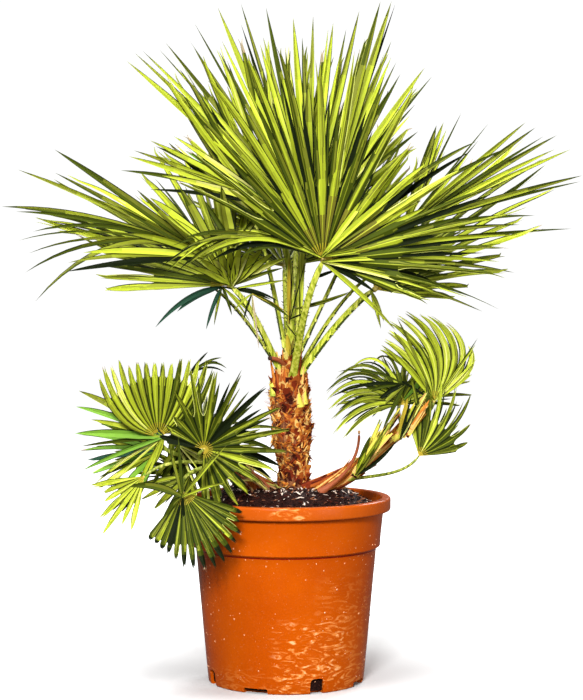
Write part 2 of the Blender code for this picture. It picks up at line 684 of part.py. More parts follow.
def seated(name, rings_from, span, trees):
    # A stalk starts where it comes clear of everything, and then one gap further out.
    for step in range(SEEK_LIMIT):
        skipped = SEEK_STEP * step / span
        tree = tree_of(*tube(rings_from(skipped)))
        if not any(tree.overlap(other) for other in trees):
            points, faces = tube(rings_from(skipped + GAP / span))
            add_object(name, points, faces, "stalk")
            trees.append(tree_of(points, faces))
            return
    raise RuntimeError(f"no free way for {name}")


def make_stalk(frond, trees):
    span = (Vector(frond["hub"]) - stem_axis(frond)).length
    seated(f"stalk_{frond['name']}", lambda skipped: stalk_rings(frond, skipped), span, trees)


def grown_leaflets(frond, trees, kept):
    # Each leaflet in turn gives way to what is already there, is shortened, or is left out.
    edges, habits = leaflet_angles(frond)
    split = frond["split"] * frond["reach"]
    leaflets = []
    for index, (full_length, own_turn, own_lift) in enumerate(habits):
        left, right = edges[index], edges[index + 1]
        found = None
        for share, (more_turn, more_lift) in itertools.product(SHORTER, GIVE):
            length = split + (full_length - split) * share
            turn, lift = own_turn + more_turn, own_lift + more_lift
            tree = tree_of(*tested_leaflet(frond, left, right, length, turn, lift))
            if not any(tree.overlap(other) for other in trees):
                found = leaflet_stations(frond, left, right, length, turn, lift)
                kept.append(tree)
                trees.append(tree)
                break
        leaflets.append(found)
    return leaflets


def make_spear(trees):
    # The next leaf, still folded into a slim spear above the trunk's tip.
    foot = trunk_centre(TRUNK_TIP_HEIGHT) + UP * GAP
    top = foot + Vector((*SPEAR_LEAN, SPEAR_HEIGHT - TRUNK_TIP_HEIGHT))
    rings = []
    for share, swell in SPEAR_SHAPE:
        centre = foot.lerp(top, share)
        ring = []
        for corner in range(PETIOLE_SIDES):
            turn = 360.0 * corner / PETIOLE_SIDES
            ring.append(centre + compass(turn) * SPEAR_RADIUS * swell)
        rings.append(ring)
    points, faces = tube(rings)
    add_object("spear", points, faces, "stalk")
    trees.append(tree_of(points, faces))


def bare_rings(start, middle, end, foot_radius, tip_radius, skipped):
    rings = []
    for row in range(BARE_RINGS):
        share = skipped + (1.0 - skipped) * row / (BARE_RINGS - 1)
        point, heading = curve_through(Vector(start), Vector(middle), Vector(end), share)
        side = heading.cross(UP).normalized()
        front = heading.cross(side)
        radius = foot_radius + (tip_radius - foot_radius) * share
        ring = []
        for corner in range(PETIOLE_SIDES):
            turn = 2.0 * math.pi * corner / PETIOLE_SIDES
            ring.append(point + (side * math.cos(turn) + front * math.sin(turn)) * radius)
        rings.append(ring)
    return rings


def make_bare_stalk(name, sizes, trees):
    span = (Vector(sizes[2]) - Vector(sizes[0])).length
    seated(name, lambda skipped: bare_rings(*sizes, skipped), span, trees)


def clear_scene():
    for item in list(bpy.data.objects):
        bpy.data.objects.remove(item, do_unlink=True)


def build():
    clear_scene()
    trees = [tree_of(*make_pot()), tree_of(*make_soil()), tree_of(*make_trunk())]
    trees.append(tree_of(*make_stem("left_stem", LEFT_STEM)))
    trees.append(tree_of(*make_stem("right_stem", RIGHT_STEM)))
    make_spear(trees)
    make_bare_stalk("stub", STUB, trees)
    make_bare_stalk("dry_stalk", DRY_STALK, trees)
    for frond in FRONDS:
        make_stalk(frond, trees)
    cores = [tree_of(*closed_core(frond)) for frond in FRONDS]
    grown = []
    for frond, core in zip(FRONDS, cores):
        others = trees + [other for other in cores if other is not core] + grown
        leaflets = grown_leaflets(frond, others, grown)
        points, faces = blade_body(frond, leaflets)
        add_object(f"frond_{frond['name']}", points, faces, "blade")


build()
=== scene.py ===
import itertools
import math
import random

import bmesh
import bpy
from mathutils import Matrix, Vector, noise
from mathutils.bvhtree import BVHTree


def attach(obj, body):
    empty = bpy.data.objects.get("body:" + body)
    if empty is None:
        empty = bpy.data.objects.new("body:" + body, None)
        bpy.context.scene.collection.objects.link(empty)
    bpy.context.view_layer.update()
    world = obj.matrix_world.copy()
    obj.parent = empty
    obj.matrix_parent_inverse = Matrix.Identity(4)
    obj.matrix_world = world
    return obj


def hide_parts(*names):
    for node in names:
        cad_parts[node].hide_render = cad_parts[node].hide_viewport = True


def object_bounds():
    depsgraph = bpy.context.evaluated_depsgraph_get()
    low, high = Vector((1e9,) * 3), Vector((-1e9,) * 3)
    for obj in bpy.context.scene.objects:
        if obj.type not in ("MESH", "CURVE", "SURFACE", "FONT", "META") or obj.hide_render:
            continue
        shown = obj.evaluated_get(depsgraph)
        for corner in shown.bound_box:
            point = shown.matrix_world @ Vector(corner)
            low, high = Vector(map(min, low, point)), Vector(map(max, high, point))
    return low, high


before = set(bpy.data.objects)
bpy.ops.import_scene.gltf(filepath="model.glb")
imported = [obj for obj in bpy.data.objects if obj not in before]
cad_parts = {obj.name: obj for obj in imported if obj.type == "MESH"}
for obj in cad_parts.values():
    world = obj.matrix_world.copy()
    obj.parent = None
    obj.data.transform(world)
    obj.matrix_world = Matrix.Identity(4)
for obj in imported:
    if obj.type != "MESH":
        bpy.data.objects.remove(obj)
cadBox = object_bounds()
up = Vector((0.0, 0.0, 1.0))

# The picture: its size and focal length in pixels, and where the camera stood.
picture = {"wide": 583, "high": 700, "focal": 2034.0, "potMiddle": 286.0,
           "away": 3.1, "eye": 0.6355, "pitch": 2.4, "sensor": 36.0, "eyeRow": 265.0, "pixel": 0.001524}


def say(stage):
    print("palm:", stage)


# Shader maths and nodes

class Tap:
    # An output socket that can be used in a sum: each operator adds one Math node.
    def __init__(self, tree, socket):
        self.tree = tree
        self.socket = socket

    def maths(self, operation, first, second):
        return addNode(self.tree, "ShaderNodeMath", {"operation": operation}, {0: first, 1: second})

    def __add__(self, other):
        return self.maths("ADD", self, other)

    def __mul__(self, other):
        return self.maths("MULTIPLY", self, other)

    def __rmul__(self, other):
        return self.maths("MULTIPLY", other, self)


def addNode(tree, kind, settings=None, inputs=None, output=0):
    # Adds a node: its settings first, then the values or links of its sockets.
    node = tree.nodes.new(kind)
    for key, value in (settings or {}).items():
        if key == "stops":
            ramp = node.color_ramp
            for index, (place, colour) in enumerate(value):
                stop = ramp.elements[index] if index < 2 else ramp.elements.new(place)
                stop.position = place
                stop.color = (*colour, 1.0)
        else:
            setattr(node, key, value)
    for key, value in (inputs or {}).items():
        socket = node.inputs[key]
        if isinstance(value, Tap):
            tree.links.new(value.socket, socket)
        elif socket.type == "RGBA":
            socket.default_value = (*value, 1.0)
        else:
            socket.default_value = value
    return Tap(tree, node.outputs[output])


def colourMix(tree, share, first, second):
    settings = {"data_type": "RGBA", "clamp_factor": True}
    return addNode(tree, "ShaderNodeMix", settings, {0: share, 6: first, 7: second}, output=2)


def ramped(tree, share, *stops):
    return addNode(tree, "ShaderNodeValToRGB", {"stops": stops}, {"Fac": share})


def ranged(tree, value, low, high, toLow=0.0, toHigh=1.0):
    inputs = {"Value": value, "From Min": low, "From Max": high, "To Min": toLow, "To Max": toHigh}
    return addNode(tree, "ShaderNodeMapRange", {"interpolation_type": "SMOOTHSTEP"}, inputs)


def noiseAt(tree, places, scale, detail=4.0, rough=0.55, bend=0.0):
    inputs = {"Vector": places, "Scale": scale, "Detail": detail, "Roughness": rough, "Distortion": bend}
    return addNode(tree, "ShaderNodeTexNoise", {}, inputs)


def stretched(tree, places, scale):
    return addNode(tree, "ShaderNodeMapping", {}, {"Vector": places, "Scale": scale})


def bumped(tree, height, strength, distance):
    return addNode(tree, "ShaderNodeBump", {}, {"Height": height, "Strength": strength, "Distance": distance})


def newMaterial(name, colour, roughness, **sockets):
    # A Principled material: returns it with its tree, its shader and its Object coordinates.
    material = bpy.data.materials.new(name)
    material.use_nodes = True
    tree = material.node_tree
    shader = tree.nodes["Principled BSDF"]
    shader.inputs["Base Color"].default_value = (*colour, 1.0)
    shader.inputs["Roughness"].default_value = roughness
    for key, value in sockets.items():
        shader.inputs[key.replace("_", " ")].default_value = value
    material.diffuse_color = (*colour, 1.0)
    places = addNode(tree, "ShaderNodeTexCoord", output=3)
    return material, tree, shader, places


def feed(tree, shader, socket, tap):
    tree.links.new(tap.socket, shader.inputs[socket])


# Making and placing pieces

def clearPick():
    if bpy.context.object and bpy.context.object.mode != "OBJECT":
        bpy.ops.object.mode_set(mode="OBJECT")
    bpy.ops.object.select_all(action="DESELECT")


def pick(piece):
    clearPick()
    piece.select_set(True)
    bpy.context.view_layer.objects.active = piece


def pieceFrom(name, points, faces, materials, kinds=None, creaseAngle=35.0, marks=None):
    # A joined mesh from arrays, with a material number for each face and a UV mark for each point.
    mesh = bpy.data.meshes.new(name)
    mesh.from_pydata([tuple(point) for point in points], [], faces)
    for material in materials:
        mesh.materials.append(material)
    if kinds:
        mesh.polygons.foreach_set("material_index", kinds)
    if marks:
        layer = mesh.uv_layers.new(name="along")
        for loop in mesh.loops:
            layer.data[loop.index].uv = marks[loop.vertex_index]
    piece = bpy.data.objects.new(name, mesh)
    bpy.context.scene.collection.objects.link(piece)
    pick(piece)
    bpy.ops.object.shade_smooth_by_angle(angle=math.radians(creaseAngle))
    return piece


def stand(piece, slot, *nodes):
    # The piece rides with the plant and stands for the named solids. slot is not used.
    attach(piece, "root")
    if nodes:
        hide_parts(*nodes)
    return piece


def settle(piece):
    # Puts a modelled piece's place and size into its mesh.
    pick(piece)
    bpy.ops.object.transform_apply(location=True, rotation=True, scale=True)


def applyAll(piece):
    pick(piece)
    for modifier in list(piece.modifiers):
        bpy.ops.object.modifier_apply(modifier=modifier.name)


def blend(low, high, share):
    return low + (high - low) * share


def eased(share):
    share = min(max(share, 0.0), 1.0)
    return share * share * (3.0 - 2.0 * share)


def compass(turn, rise=0.0):
    # A direction from its turn round the plant and its rise, in degrees.
    flat = math.cos(math.radians(rise))
    return Vector((flat * math.cos(math.radians(turn)), flat * math.sin(math.radians(turn)),
                   math.sin(math.radians(rise))))


def spoke(side, front, turn):
    # The way out from an axis, at a turn in radians from its side towards its front.
    return side * math.cos(turn) + front * math.sin(turn)


def turns(sides):
    # The turns in radians of a ring's corners.
    return [2.0 * math.pi * corner / sides for corner in range(sides)]


def squared(way, axis):
    # A direction set square to an axis.
    return (way - axis * way.dot(axis)).normalized()


def through(start, middle, end):
    # The control point of the curve that passes a middle point halfway.
    return middle * 2.0 - (start + end) * 0.5


def along(start, control, tip, share):
    # A point of such a curve, and its heading there.
    back = 1.0 - share
    point = start * back ** 2 + control * (2.0 * share * back) + tip * share ** 2
    heading = (control - start) * (2.0 * back) + (tip - control) * (2.0 * share)
    return point, heading.normalized()


def seenAt(across, down, depth):
    # The point that the picture shows at a pixel, at a depth behind the pot's middle.
    scale = picture["pixel"] * (picture["away"] + depth) / picture["away"]
    return Vector(((across - picture["potMiddle"]) * scale, depth,
                   picture["eye"] + (picture["eyeRow"] - down) * scale))


def withinOutline(point, outline):
    # Whether a point lies within an outline of pixels when it is seen in the picture.
    scale = picture["pixel"] * (picture["away"] + point.y) / picture["away"]
    across = picture["potMiddle"] + point.x / scale
    down = picture["eyeRow"] - (point.z - picture["eye"]) / scale
    inside = False
    for (x0, y0), (x1, y1) in zip(outline, outline[1:] + outline[:1]):
        if (y0 > down) != (y1 > down) and across < (x1 - x0) * (down - y0) / (y1 - y0) + x0:
            inside = not inside
    return inside


def loftFaces(rings, sides, first=0, closed=True):
    # Quads between rings of points that follow each other in one list.
    faces = []
    for ring in range(rings - 1):
        for side in range(sides if closed else sides - 1):
            after = (side + 1) % sides
            start = first + ring * sides
            faces.append((start + side, start + after, start + sides + after, start + sides + side))
    return faces


def capFaces(points, sides, first=0):
    # The flat ends of a tube whose rings run from a first point to the last of all.
    return [tuple(range(first + sides - 1, first - 1, -1)), tuple(range(len(points) - sides, len(points)))]


def tipFaces(points, sides):
    # Triangles from the last ring to the point that follows it.
    top = len(points) - 1
    last = top - sides
    return [(last + corner, last + (corner + 1) % sides, top) for corner in range(sides)]


def slab(mesh, grid, kindAt):
    # A closed thin plate from rows of (point, way out, half thickness). kindAt tints each facet.
    points, faces, kinds = mesh
    first = len(points)
    rows, columns = len(grid), len(grid[0])
    for side in (1.0, -1.0):
        for row in grid:
            points.extend(point + out * (thick * side) for point, out, thick in row)
    under = rows * columns
    for row in range(rows - 1):
        for column in range(columns - 1):
            a = first + row * columns + column
            faces.append((a, a + 1, a + columns + 1, a + columns))
            faces.append((a + under, a + under + columns, a + under + columns + 1, a + under + 1))
            kinds += [kindAt(row, column, True), kindAt(row, column, False)]
    edge = [first + column for column in range(columns)]
    edge += [first + row * columns + columns - 1 for row in range(1, rows)]
    edge += [first + (rows - 1) * columns + column for column in range(columns - 2, -1, -1)]
    edge += [first + row * columns for row in range(rows - 2, 0, -1)]
    for one, two in zip(edge, edge[1:] + edge[:1]):
        faces.append((two, one, one + under, two + under))
        kinds.append(kindAt(rows - 2, 0, True))


def hair(mesh, line, radius, kind, sides=3):
    # A thin pointed fibre through a line of points.
    points, faces, kinds = mesh
    first = len(points)
    for number, point in enumerate(line[:-1]):
        heading = (line[number + 1] - point).normalized()
        side = heading.orthogonal().normalized()
        other = heading.cross(side)
        size = radius * (1.0 - 0.6 * number / len(line))
        points.extend(point + spoke(side, other, turn) * size for turn in turns(sides))
    points.append(line[-1])
    rings = len(line) - 1
    faces.extend(loftFaces(rings, sides, first) + tipFaces(points, sides))
    faces.append(tuple(range(first + sides - 1, first - 1, -1)))
    kinds.extend([kind] * (rings * sides + 1))


# Pot

pot = {"height": 0.282, "rim": 0.160, "rimDrop": 0.020, "bandTop": 0.1495, "bandFoot": 0.1440,
       "step": 0.210, "stepDrop": 0.005, "bodyTop": 0.1380, "base": 0.1190, "wall": 0.0030,
       "sides": 144, "roll": 0.0034, "foot": 0.0026,
       "archWide": 0.021, "archHigh": 0.023, "notchWide": 0.038, "notchHigh": 0.008,
       "cutDeep": 0.026, "archTurn": -67.5, "notchTurn": -112.5, "cuts": 4}


def bodyRadius(height):
    return blend(pot["base"], pot["bodyTop"], height / (pot["step"] - pot["stepDrop"]))


def roundedCorner(centreRadius, centreHeight, radius, start, end, steps):
    # Points of an arc in the profile, by angles in degrees.
    for step in range(steps + 1):
        turn = math.radians(blend(start, end, step / steps))
        yield centreRadius + radius * math.cos(turn), centreHeight + radius * math.sin(turn)


def potProfile():
    rimFoot = pot["height"] - pot["rimDrop"]
    roll, foot = pot["roll"], pot["foot"]
    stepFoot = pot["step"] - pot["stepDrop"]
    outer = list(roundedCorner(pot["base"] - foot, foot, foot, -90, -8, 4))
    for height in (0.03, 0.09, 0.15, 0.195):
        outer.append((bodyRadius(height), height))
    outer += [(pot["bodyTop"] - 0.0002, stepFoot - 0.0012), (pot["bodyTop"] + 0.0004, stepFoot)]
    outer += list(roundedCorner(pot["bandFoot"] - 0.0018, pot["step"] - 0.0006, 0.0018, -60, 6, 4))
    outer += [(pot["bandFoot"] + 0.0010, 0.225), (pot["bandTop"] - 0.0006, rimFoot - 0.0020)]
    outer += [(pot["bandTop"] - 0.0002, rimFoot - 0.0002), (pot["rim"] - roll, rimFoot)]
    outer += list(roundedCorner(pot["rim"] - roll, rimFoot + roll, roll, -75, 0, 5))
    outer += list(roundedCorner(pot["rim"] - roll, pot["height"] - roll, roll, 0, 90, 6))
    innerRim = pot["bandTop"] - pot["wall"]
    inner = list(roundedCorner(innerRim + 0.0022, pot["height"] - 0.0022, 0.0022, 90, 180, 4))
    inner += [(pot["bandFoot"] - pot["wall"], pot["step"]), (pot["bodyTop"] - pot["wall"], stepFoot)]
    inner += [(bodyRadius(0.10) - pot["wall"], 0.10), (pot["base"] - pot["wall"] - 0.002, pot["wall"])]
    return outer + inner


def drainCutter(name, wide, high, turn, roundShare):
    # A block with rounded upper corners, pushed through the foot of the wall.
    low = -0.010
    clearPick()
    bpy.ops.mesh.primitive_cube_add(size=1.0, location=(0.0, 0.0, (low + high) / 2.0))
    cutter = bpy.context.object
    cutter.name = name
    cutter.scale = (pot["cutDeep"], wide, high - low)
    settle(cutter)
    bevel = cutter.modifiers.new("corners", "BEVEL")
    bevel.width = wide * roundShare
    bevel.segments = 5
    bevel.limit_method = "WEIGHT"
    weights = cutter.data.attributes.new("bevel_weight_edge", "FLOAT", "EDGE")
    for edge in cutter.data.edges:
        ends = [cutter.data.vertices[corner].co for corner in edge.vertices]
        if all(end.z > 0.0 for end in ends) and abs(ends[0].x - ends[1].x) > 0.001:
            weights.data[edge.index].value = 1.0
    applyAll(cutter)
    cutter.location = compass(turn) * pot["base"]
    cutter.rotation_euler = (0.0, 0.0, math.radians(turn))
    settle(cutter)
    return cutter


def makePot(material):
    # The rim of a circle is pulled up, out and back down inside, one profile point at a time.
    profile = potProfile()
    clearPick()
    bpy.ops.mesh.primitive_circle_add(vertices=pot["sides"], radius=profile[0][0], fill_type="NGON",
                                      location=(0.0, 0.0, 0.0))
    piece = bpy.context.object
    piece.name = "pot_shell"
    bpy.ops.object.mode_set(mode="EDIT")
    bpy.ops.mesh.select_mode(type="EDGE")
    bpy.ops.mesh.select_all(action="SELECT")
    bpy.ops.mesh.region_to_loop()
    for before, after in zip(profile, profile[1:]):
        bpy.ops.mesh.extrude_edges_move(TRANSFORM_OT_translate={"value": (0.0, 0.0, after[1] - before[1])})
        ratio = after[0] / before[0]
        bpy.ops.transform.resize(value=(ratio, ratio, 1.0), center_override=(0.0, 0.0, after[1]))
    bpy.ops.mesh.edge_face_add()
    bpy.ops.mesh.select_all(action="SELECT")
    bpy.ops.mesh.normals_make_consistent(inside=False)
    bpy.ops.object.mode_set(mode="OBJECT")
    for place in range(pot["cuts"]):
        turn = 360.0 * place / pot["cuts"]
        cutters = (drainCutter("arch", pot["archWide"], pot["archHigh"], pot["archTurn"] + turn, 0.30),
                   drainCutter("notch", pot["notchWide"], pot["notchHigh"], pot["notchTurn"] + turn, 0.06))
        for cutter in cutters:
            cut = piece.modifiers.new("drain", "BOOLEAN")
            cut.operation = "DIFFERENCE"
            cut.solver = "EXACT"
            cut.object = cutter
            applyAll(piece)
            bpy.data.objects.remove(cutter, do_unlink=True)
    piece.data.materials.clear()
    piece.data.materials.append(material)
    pick(piece)
    bpy.ops.object.shade_smooth_by_angle(angle=math.radians(30.0))
    return stand(piece, "pot", "pot")


def potMaterial():
    material, tree, shader, places = newMaterial("orangePlastic", (0.48, 0.070, 0.0003), 0.26,
                                                 Specular_IOR_Level=0.10)
    x, y, z = [addNode(tree, "ShaderNodeSeparateXYZ", {}, {"Vector": places}, output=axis)
               for axis in range(3)]
    # Slow shifts of colour, as of a pot that has stood in the sun, and a paler rim.
    slow = noiseAt(tree, places, 9.0, 3.0)
    body = ramped(tree, slow, (0.30, (0.435, 0.058, 0.0001)), (0.52, (0.49, 0.072, 0.0002)),
                  (0.78, (0.55, 0.088, 0.0004)))
    rim = ranged(tree, z, 0.2610, 0.2650)
    body = colourMix(tree, rim * 0.35, body, (0.46, 0.095, 0.010))
    # Wavy wet streaks, low on the right side, and a glint on the front of the rim: their pale colour is
    # painted reflection, and the glint is a painted highlight.
    waves = noiseAt(tree, stretched(tree, places, (34.0, 34.0, 105.0)), 1.0, 3.5, 0.58, 1.9)
    streak = ranged(tree, waves, 0.50, 0.62)
    front = ranged(tree, y, 0.02, -0.03)
    low = ranged(tree, z, 0.128, 0.080) * ranged(tree, x, -0.030, 0.004) * ranged(tree, x, 0.105, 0.060)
    foot = 0.45 * ranged(tree, z, 0.052, 0.012)
    right = 0.42 * ranged(tree, x, 0.030, 0.070) * ranged(tree, z, 0.200, 0.130)
    glint = rim * ranged(tree, x, -0.030, -0.010) * ranged(tree, x, 0.040, 0.022)
    wetAndGlare = addNode(tree, "ShaderNodeClamp", {}, {"Value": streak * front * (low + foot + right + glint)})
    body = colourMix(tree, wetAndGlare * 0.62, body, (0.86, 0.30, 0.060))
    # Painted highlight: near-white crests on the wet streaks and on the glint.
    glareCrest = ranged(tree, waves, 0.60, 0.68) * front * (low + 0.6 * glint)
    body = colourMix(tree, glareCrest * 0.55, body, (1.0, 0.66, 0.36))
    # Painted shade: thin dark red lines in the creases under the rim and under the step.
    compare = {"operation": "COMPARE"}
    shadeUnderRim, shadeUnderStep = [addNode(tree, "ShaderNodeMath", compare, {0: z, 1: height, 2: width})
                         for height, width in ((0.2616, 0.0010), (0.2048, 0.0012))]
    body = colourMix(tree, (shadeUnderRim + shadeUnderStep) * 0.94, body, (0.22, 0.003, 0.002))
    # Fine dust in the grain of the plastic.
    dust = ranged(tree, noiseAt(tree, places, 620.0, 2.0), 0.66, 0.74)
    feed(tree, shader, "Base Color", colourMix(tree, dust * 0.30, body, (0.86, 0.42, 0.20)))
    gloss = ranged(tree, noiseAt(tree, places, 46.0, 4.0), 0.3, 0.7, 0.20, 0.36)
    feed(tree, shader, "Roughness", gloss + wetAndGlare * 0.1)
    grain = noiseAt(tree, places, 260.0, 2.0) * 0.3 + waves * front * (low + foot)
    feed(tree, shader, "Normal", bumped(tree, grain, 0.35, 0.0018))
    return material


# Beads of water: their rows lie under the band and on its foot, and the step between stays bare.
drops = {"count": 900, "seed": 11, "crowding": 0.72, "heights": (0.012, 0.250), "inRows": 0.16,
         "rows": ((0.196, 0.2025), (0.213, 0.219)), "bare": (0.2035, 0.2125),
         "least": 0.00040, "more": 0.0011, "fewLarge": 3.6, "tall": 1.15,
         "sides": 6, "rings": ((1.0, 0.0), (0.72, 0.42)), "top": 0.62}


def makeDrops(material):
    # One low dome, copied over the pot and thickest on its front.
    chance = random.Random(drops["seed"])
    sides = drops["sides"]
    points = []
    faces = []
    for number in range(drops["count"]):
        turn = 270.0 + chance.choice((-1.0, 1.0)) * 180.0 * chance.random() ** drops["crowding"]
        height = chance.uniform(*drops["heights"])
        if chance.random() < drops["inRows"]:
            height = chance.choice([chance.uniform(*row) for row in drops["rows"]])
        if drops["bare"][0] < height < drops["bare"][1]:
            continue
        radius = bodyRadius(height)
        if height > pot["step"]:
            share = (height - pot["step"]) / (pot["height"] - pot["step"])
            radius = blend(pot["bandFoot"], pot["bandTop"], share)
        out = compass(turn)
        side = Vector((-out.y, out.x, 0.0))
        size = drops["least"] + drops["more"] * chance.random() ** drops["fewLarge"]
        middle = out * (radius - 0.0001) + up * height
        first = len(points)
        for ring, lift in drops["rings"]:
            for angle in turns(sides):
                flat = side * math.cos(angle) + up * math.sin(angle) * drops["tall"]
                points.append(middle + flat * size * ring + out * size * lift)
        points.append(middle + out * size * drops["top"])
        faces += loftFaces(len(drops["rings"]), sides, first) + tipFaces(points, sides)
    return stand(pieceFrom("pot_drops", points, faces, [material], creaseAngle=80.0), "pot")


def dropMaterial():
    # Pale peach, lighter than the plastic under them: painted reflection of the light in the water.
    material, tree, shader, places = newMaterial("waterDrops", (0.88, 0.40, 0.20), 0.10, Coat_Weight=0.4)
    feed(tree, shader, "Roughness", ranged(tree, noiseAt(tree, places, 300.0), 0.3, 0.7, 0.03, 0.12))
    return material


# Soil

soil = {"top": 0.2960, "plateau": 0.078, "edge": 0.2680, "sides": 120, "rings": 44, "lumps": 0.0016,
        "chips": 3200, "chipDeal": (50, 24, 14, 12), "seed": 5}


def innerRadius(height):
    # The pot's inner wall at a height above its step.
    share = (height - pot["step"]) / (pot["height"] - 0.002 - pot["step"])
    return blend(pot["bandFoot"], pot["bandTop"], share) - pot["wall"] - 0.0004


def soilHeight(radius):
    rim = innerRadius(soil["edge"])
    share = (radius - soil["plateau"]) / (rim - soil["plateau"])
    if share <= 0.0:
        return soil["top"]
    return soil["edge"] + (soil["top"] - soil["edge"]) * (0.5 + 0.5 * math.cos(math.pi * min(share, 1.0)))


def makeSoil(material):
    # A disc of rings, lumpy on top and closed below at the pot's inner wall.
    rim = innerRadius(soil["edge"])
    points = [Vector((0.0, 0.0, soil["top"]))]
    sides = soil["sides"]
    for ring in range(1, soil["rings"] + 1):
        radius = rim * ring / soil["rings"]
        fade = 1.0 - (ring / soil["rings"]) ** 8
        for turn in turns(sides):
            place = Vector((radius * math.cos(turn), radius * math.sin(turn), 0.0))
            lump = noise.fractal(place * 90.0, 0.8, 2.2, 4) + 0.6 * noise.noise(place * 330.0)
            points.append(place + up * (soilHeight(radius) + soil["lumps"] * lump * fade - 0.0006))
    faces = [(0, 1 + side, 1 + (side + 1) % sides) for side in range(sides)]
    faces += loftFaces(soil["rings"], sides, 1)
    below = [(innerRadius(pot["step"]), pot["step"]), (pot["bodyTop"] - pot["wall"] - 0.0006, 0.204),
             (pot["base"] - pot["wall"] - 0.003, 0.0036)]
    first = len(points) - sides
    for radius, height in below:
        for side in range(sides):
            points.append(compass(360.0 * side / sides) * radius + up * height)
    faces += loftFaces(len(below) + 1, sides, first)
    faces.append(tuple(range(len(points) - 1, len(points) - sides - 1, -1)))
    return stand(pieceFrom("soil_mound", points, faces, [material], creaseAngle=60.0), "soil", "soil")


def makeChips(materials):
    # Bark, fibre and grit on the soil: small split wedges, most of them dark.
    chance = random.Random(soil["seed"])
    points = []
    faces = []
    kinds = []
    rim = innerRadius(soil["edge"]) - 0.004
    for number in range(soil["chips"]):
        radius = rim * math.sqrt(chance.random())
        turn = chance.uniform(0.0, 360.0)
        place = compass(turn) * radius + up * (soilHeight(radius) + 0.0002)
        long = 0.0014 + 0.0090 * chance.random() ** 2.2
        wide = min(long * chance.uniform(0.14, 0.60), 0.0030)
        heading = compass(chance.uniform(0.0, 360.0), chance.uniform(-14.0, 34.0))
        across = heading.cross(up).normalized()
        lean = across.cross(heading)
        first = len(points)
        for end, spread in ((-0.5, 0.7), (0.1, 1.0), (0.5, 0.45)):
            for corner in range(4):
                angle = math.pi / 2.0 * corner + 0.6
                ring = across * math.cos(angle) * wide + lean * math.sin(angle) * wide * 0.55
                points.append(place + heading * long * end + ring * spread * 0.5 + lean * wide * 0.25)
        faces += loftFaces(3, 4, first) + capFaces(points, 4, first)
        kinds += [chance.choices(range(len(materials)), soil["chipDeal"])[0]] * 10
    return stand(pieceFrom("bark_chips", points, faces, materials, kinds, 25.0), "soil")


def soilMaterial():
    material, tree, shader, places = newMaterial("pottingSoil", (0.02, 0.008, 0.004), 0.85,
                                                 Specular_IOR_Level=0.12)
    crumbs = noiseAt(tree, places, 420.0, 5.0, 0.7)
    tone = ramped(tree, crumbs, (0.34, (0.004, 0.001, 0.0007)), (0.58, (0.022, 0.005, 0.003)),
                  (0.74, (0.10, 0.028, 0.014)))
    feed(tree, shader, "Base Color", tone)
    feed(tree, shader, "Roughness", ranged(tree, crumbs, 0.3, 0.7, 0.95, 0.6))
    feed(tree, shader, "Normal", bumped(tree, crumbs, 0.9, 0.002))
    return material


def grainyMaterial(name, colour, roughness, scale, **sockets):
    # A plain colour whose bump and gloss are broken up, for small joined pieces.
    material, tree, shader, places = newMaterial(name, colour, roughness, **sockets)
    grain = noiseAt(tree, places, scale, 3.0, 0.6)
    feed(tree, shader, "Roughness", ranged(tree, grain, 0.25, 0.75, roughness - 0.10, roughness + 0.12))
    return material


# Trunk and sucker stems

trunk = {"foot": (0.0125, 0.004), "shoulder": (0.0045, 0.004), "lean": 0.10, "footRadius": 0.0270,
         "waistRadius": 0.0240, "bodyRadius": 0.0315, "neckRadius": 0.0190, "tipRadius": 0.0090,
         "waist": 0.324, "full": 0.366, "shoulderHeight": 0.440, "neck": 0.472, "tip": 0.500,
         "sides": 96, "rings": 130, "inset": 0.0040, "relief": 0.0030,
         "bases": 190, "baseWide": 0.0165, "baseLong": 0.0180, "turn": 137.5, "shreds": 620,
         "collar": 58, "fibres": 1300, "seed": 21}

stems = {"left": {"foot": (-0.052, -0.022), "middle": (-0.062, -0.034, 0.318), "tip": (-0.080, -0.040, 0.338),
                  "footRadius": 0.015, "tipRadius": 0.010, "node": "left_stem",
                  "sheaths": 40, "fibres": 160, "seed": 31,
                  "bundles": (((-0.016, -0.018, 0.297), (-0.064, -0.040, 0.316), 40, 0.010,
                               ((2, 1, 0), (1, 2, 0), (2, 3, 0), (0, 1, 0))),
                              ((-0.070, -0.040, 0.330), (-0.120, -0.066, 0.352), 12, 0.009,
                               ((4, 3, 2), (5, 4, 3), (6, 5, 2))))},
         "right": {"foot": (0.052, -0.030), "middle": (0.108, -0.040, 0.330), "tip": (0.176, -0.044, 0.392),
                   "footRadius": 0.015, "tipRadius": 0.0085, "node": "right_stem",
                   "sheaths": 62, "fibres": 220, "seed": 33,
                   "bundles": (((0.026, -0.016, 0.296), (0.094, -0.038, 0.318), 54, 0.012,
                                ((2, 1, 0), (1, 2, 0), (2, 3, 0), (1, 0, 0))),
                               ((0.154, -0.044, 0.366), (0.212, -0.060, 0.430), 20, 0.012,
                                ((3, 4, 2), (4, 3, 2), (5, 4, 3), (3, 5, 1))),
                               ((0.176, -0.094, 0.378), (0.203, -0.098, 0.426), 26, 0.0075,
                                ((3, 5, 0), (5, 3, 0), (4, 3, 0), (3, 2, 0), (5, 4, 0), (1, 2, 0))),
                               ((0.100, -0.070, 0.318), (0.160, -0.088, 0.404), 36, 0.0100,
                                ((4, 5, 0), (5, 4, 0), (5, 4, 1), (6, 5, 0), (5, 5, 1), (5, 6, 0),
                                 (4, 2, 0))))}}


def trunkCentre(height):
    share = min(1.0, (height - soil["top"]) / (trunk["shoulderHeight"] - soil["top"]))
    centre = Vector((*trunk["foot"], 0.0)).lerp(Vector((*trunk["shoulder"], 0.0)), share)
    centre.x += trunk["lean"] * max(0.0, height - trunk["shoulderHeight"])
    return Vector((centre.x, centre.y, height))


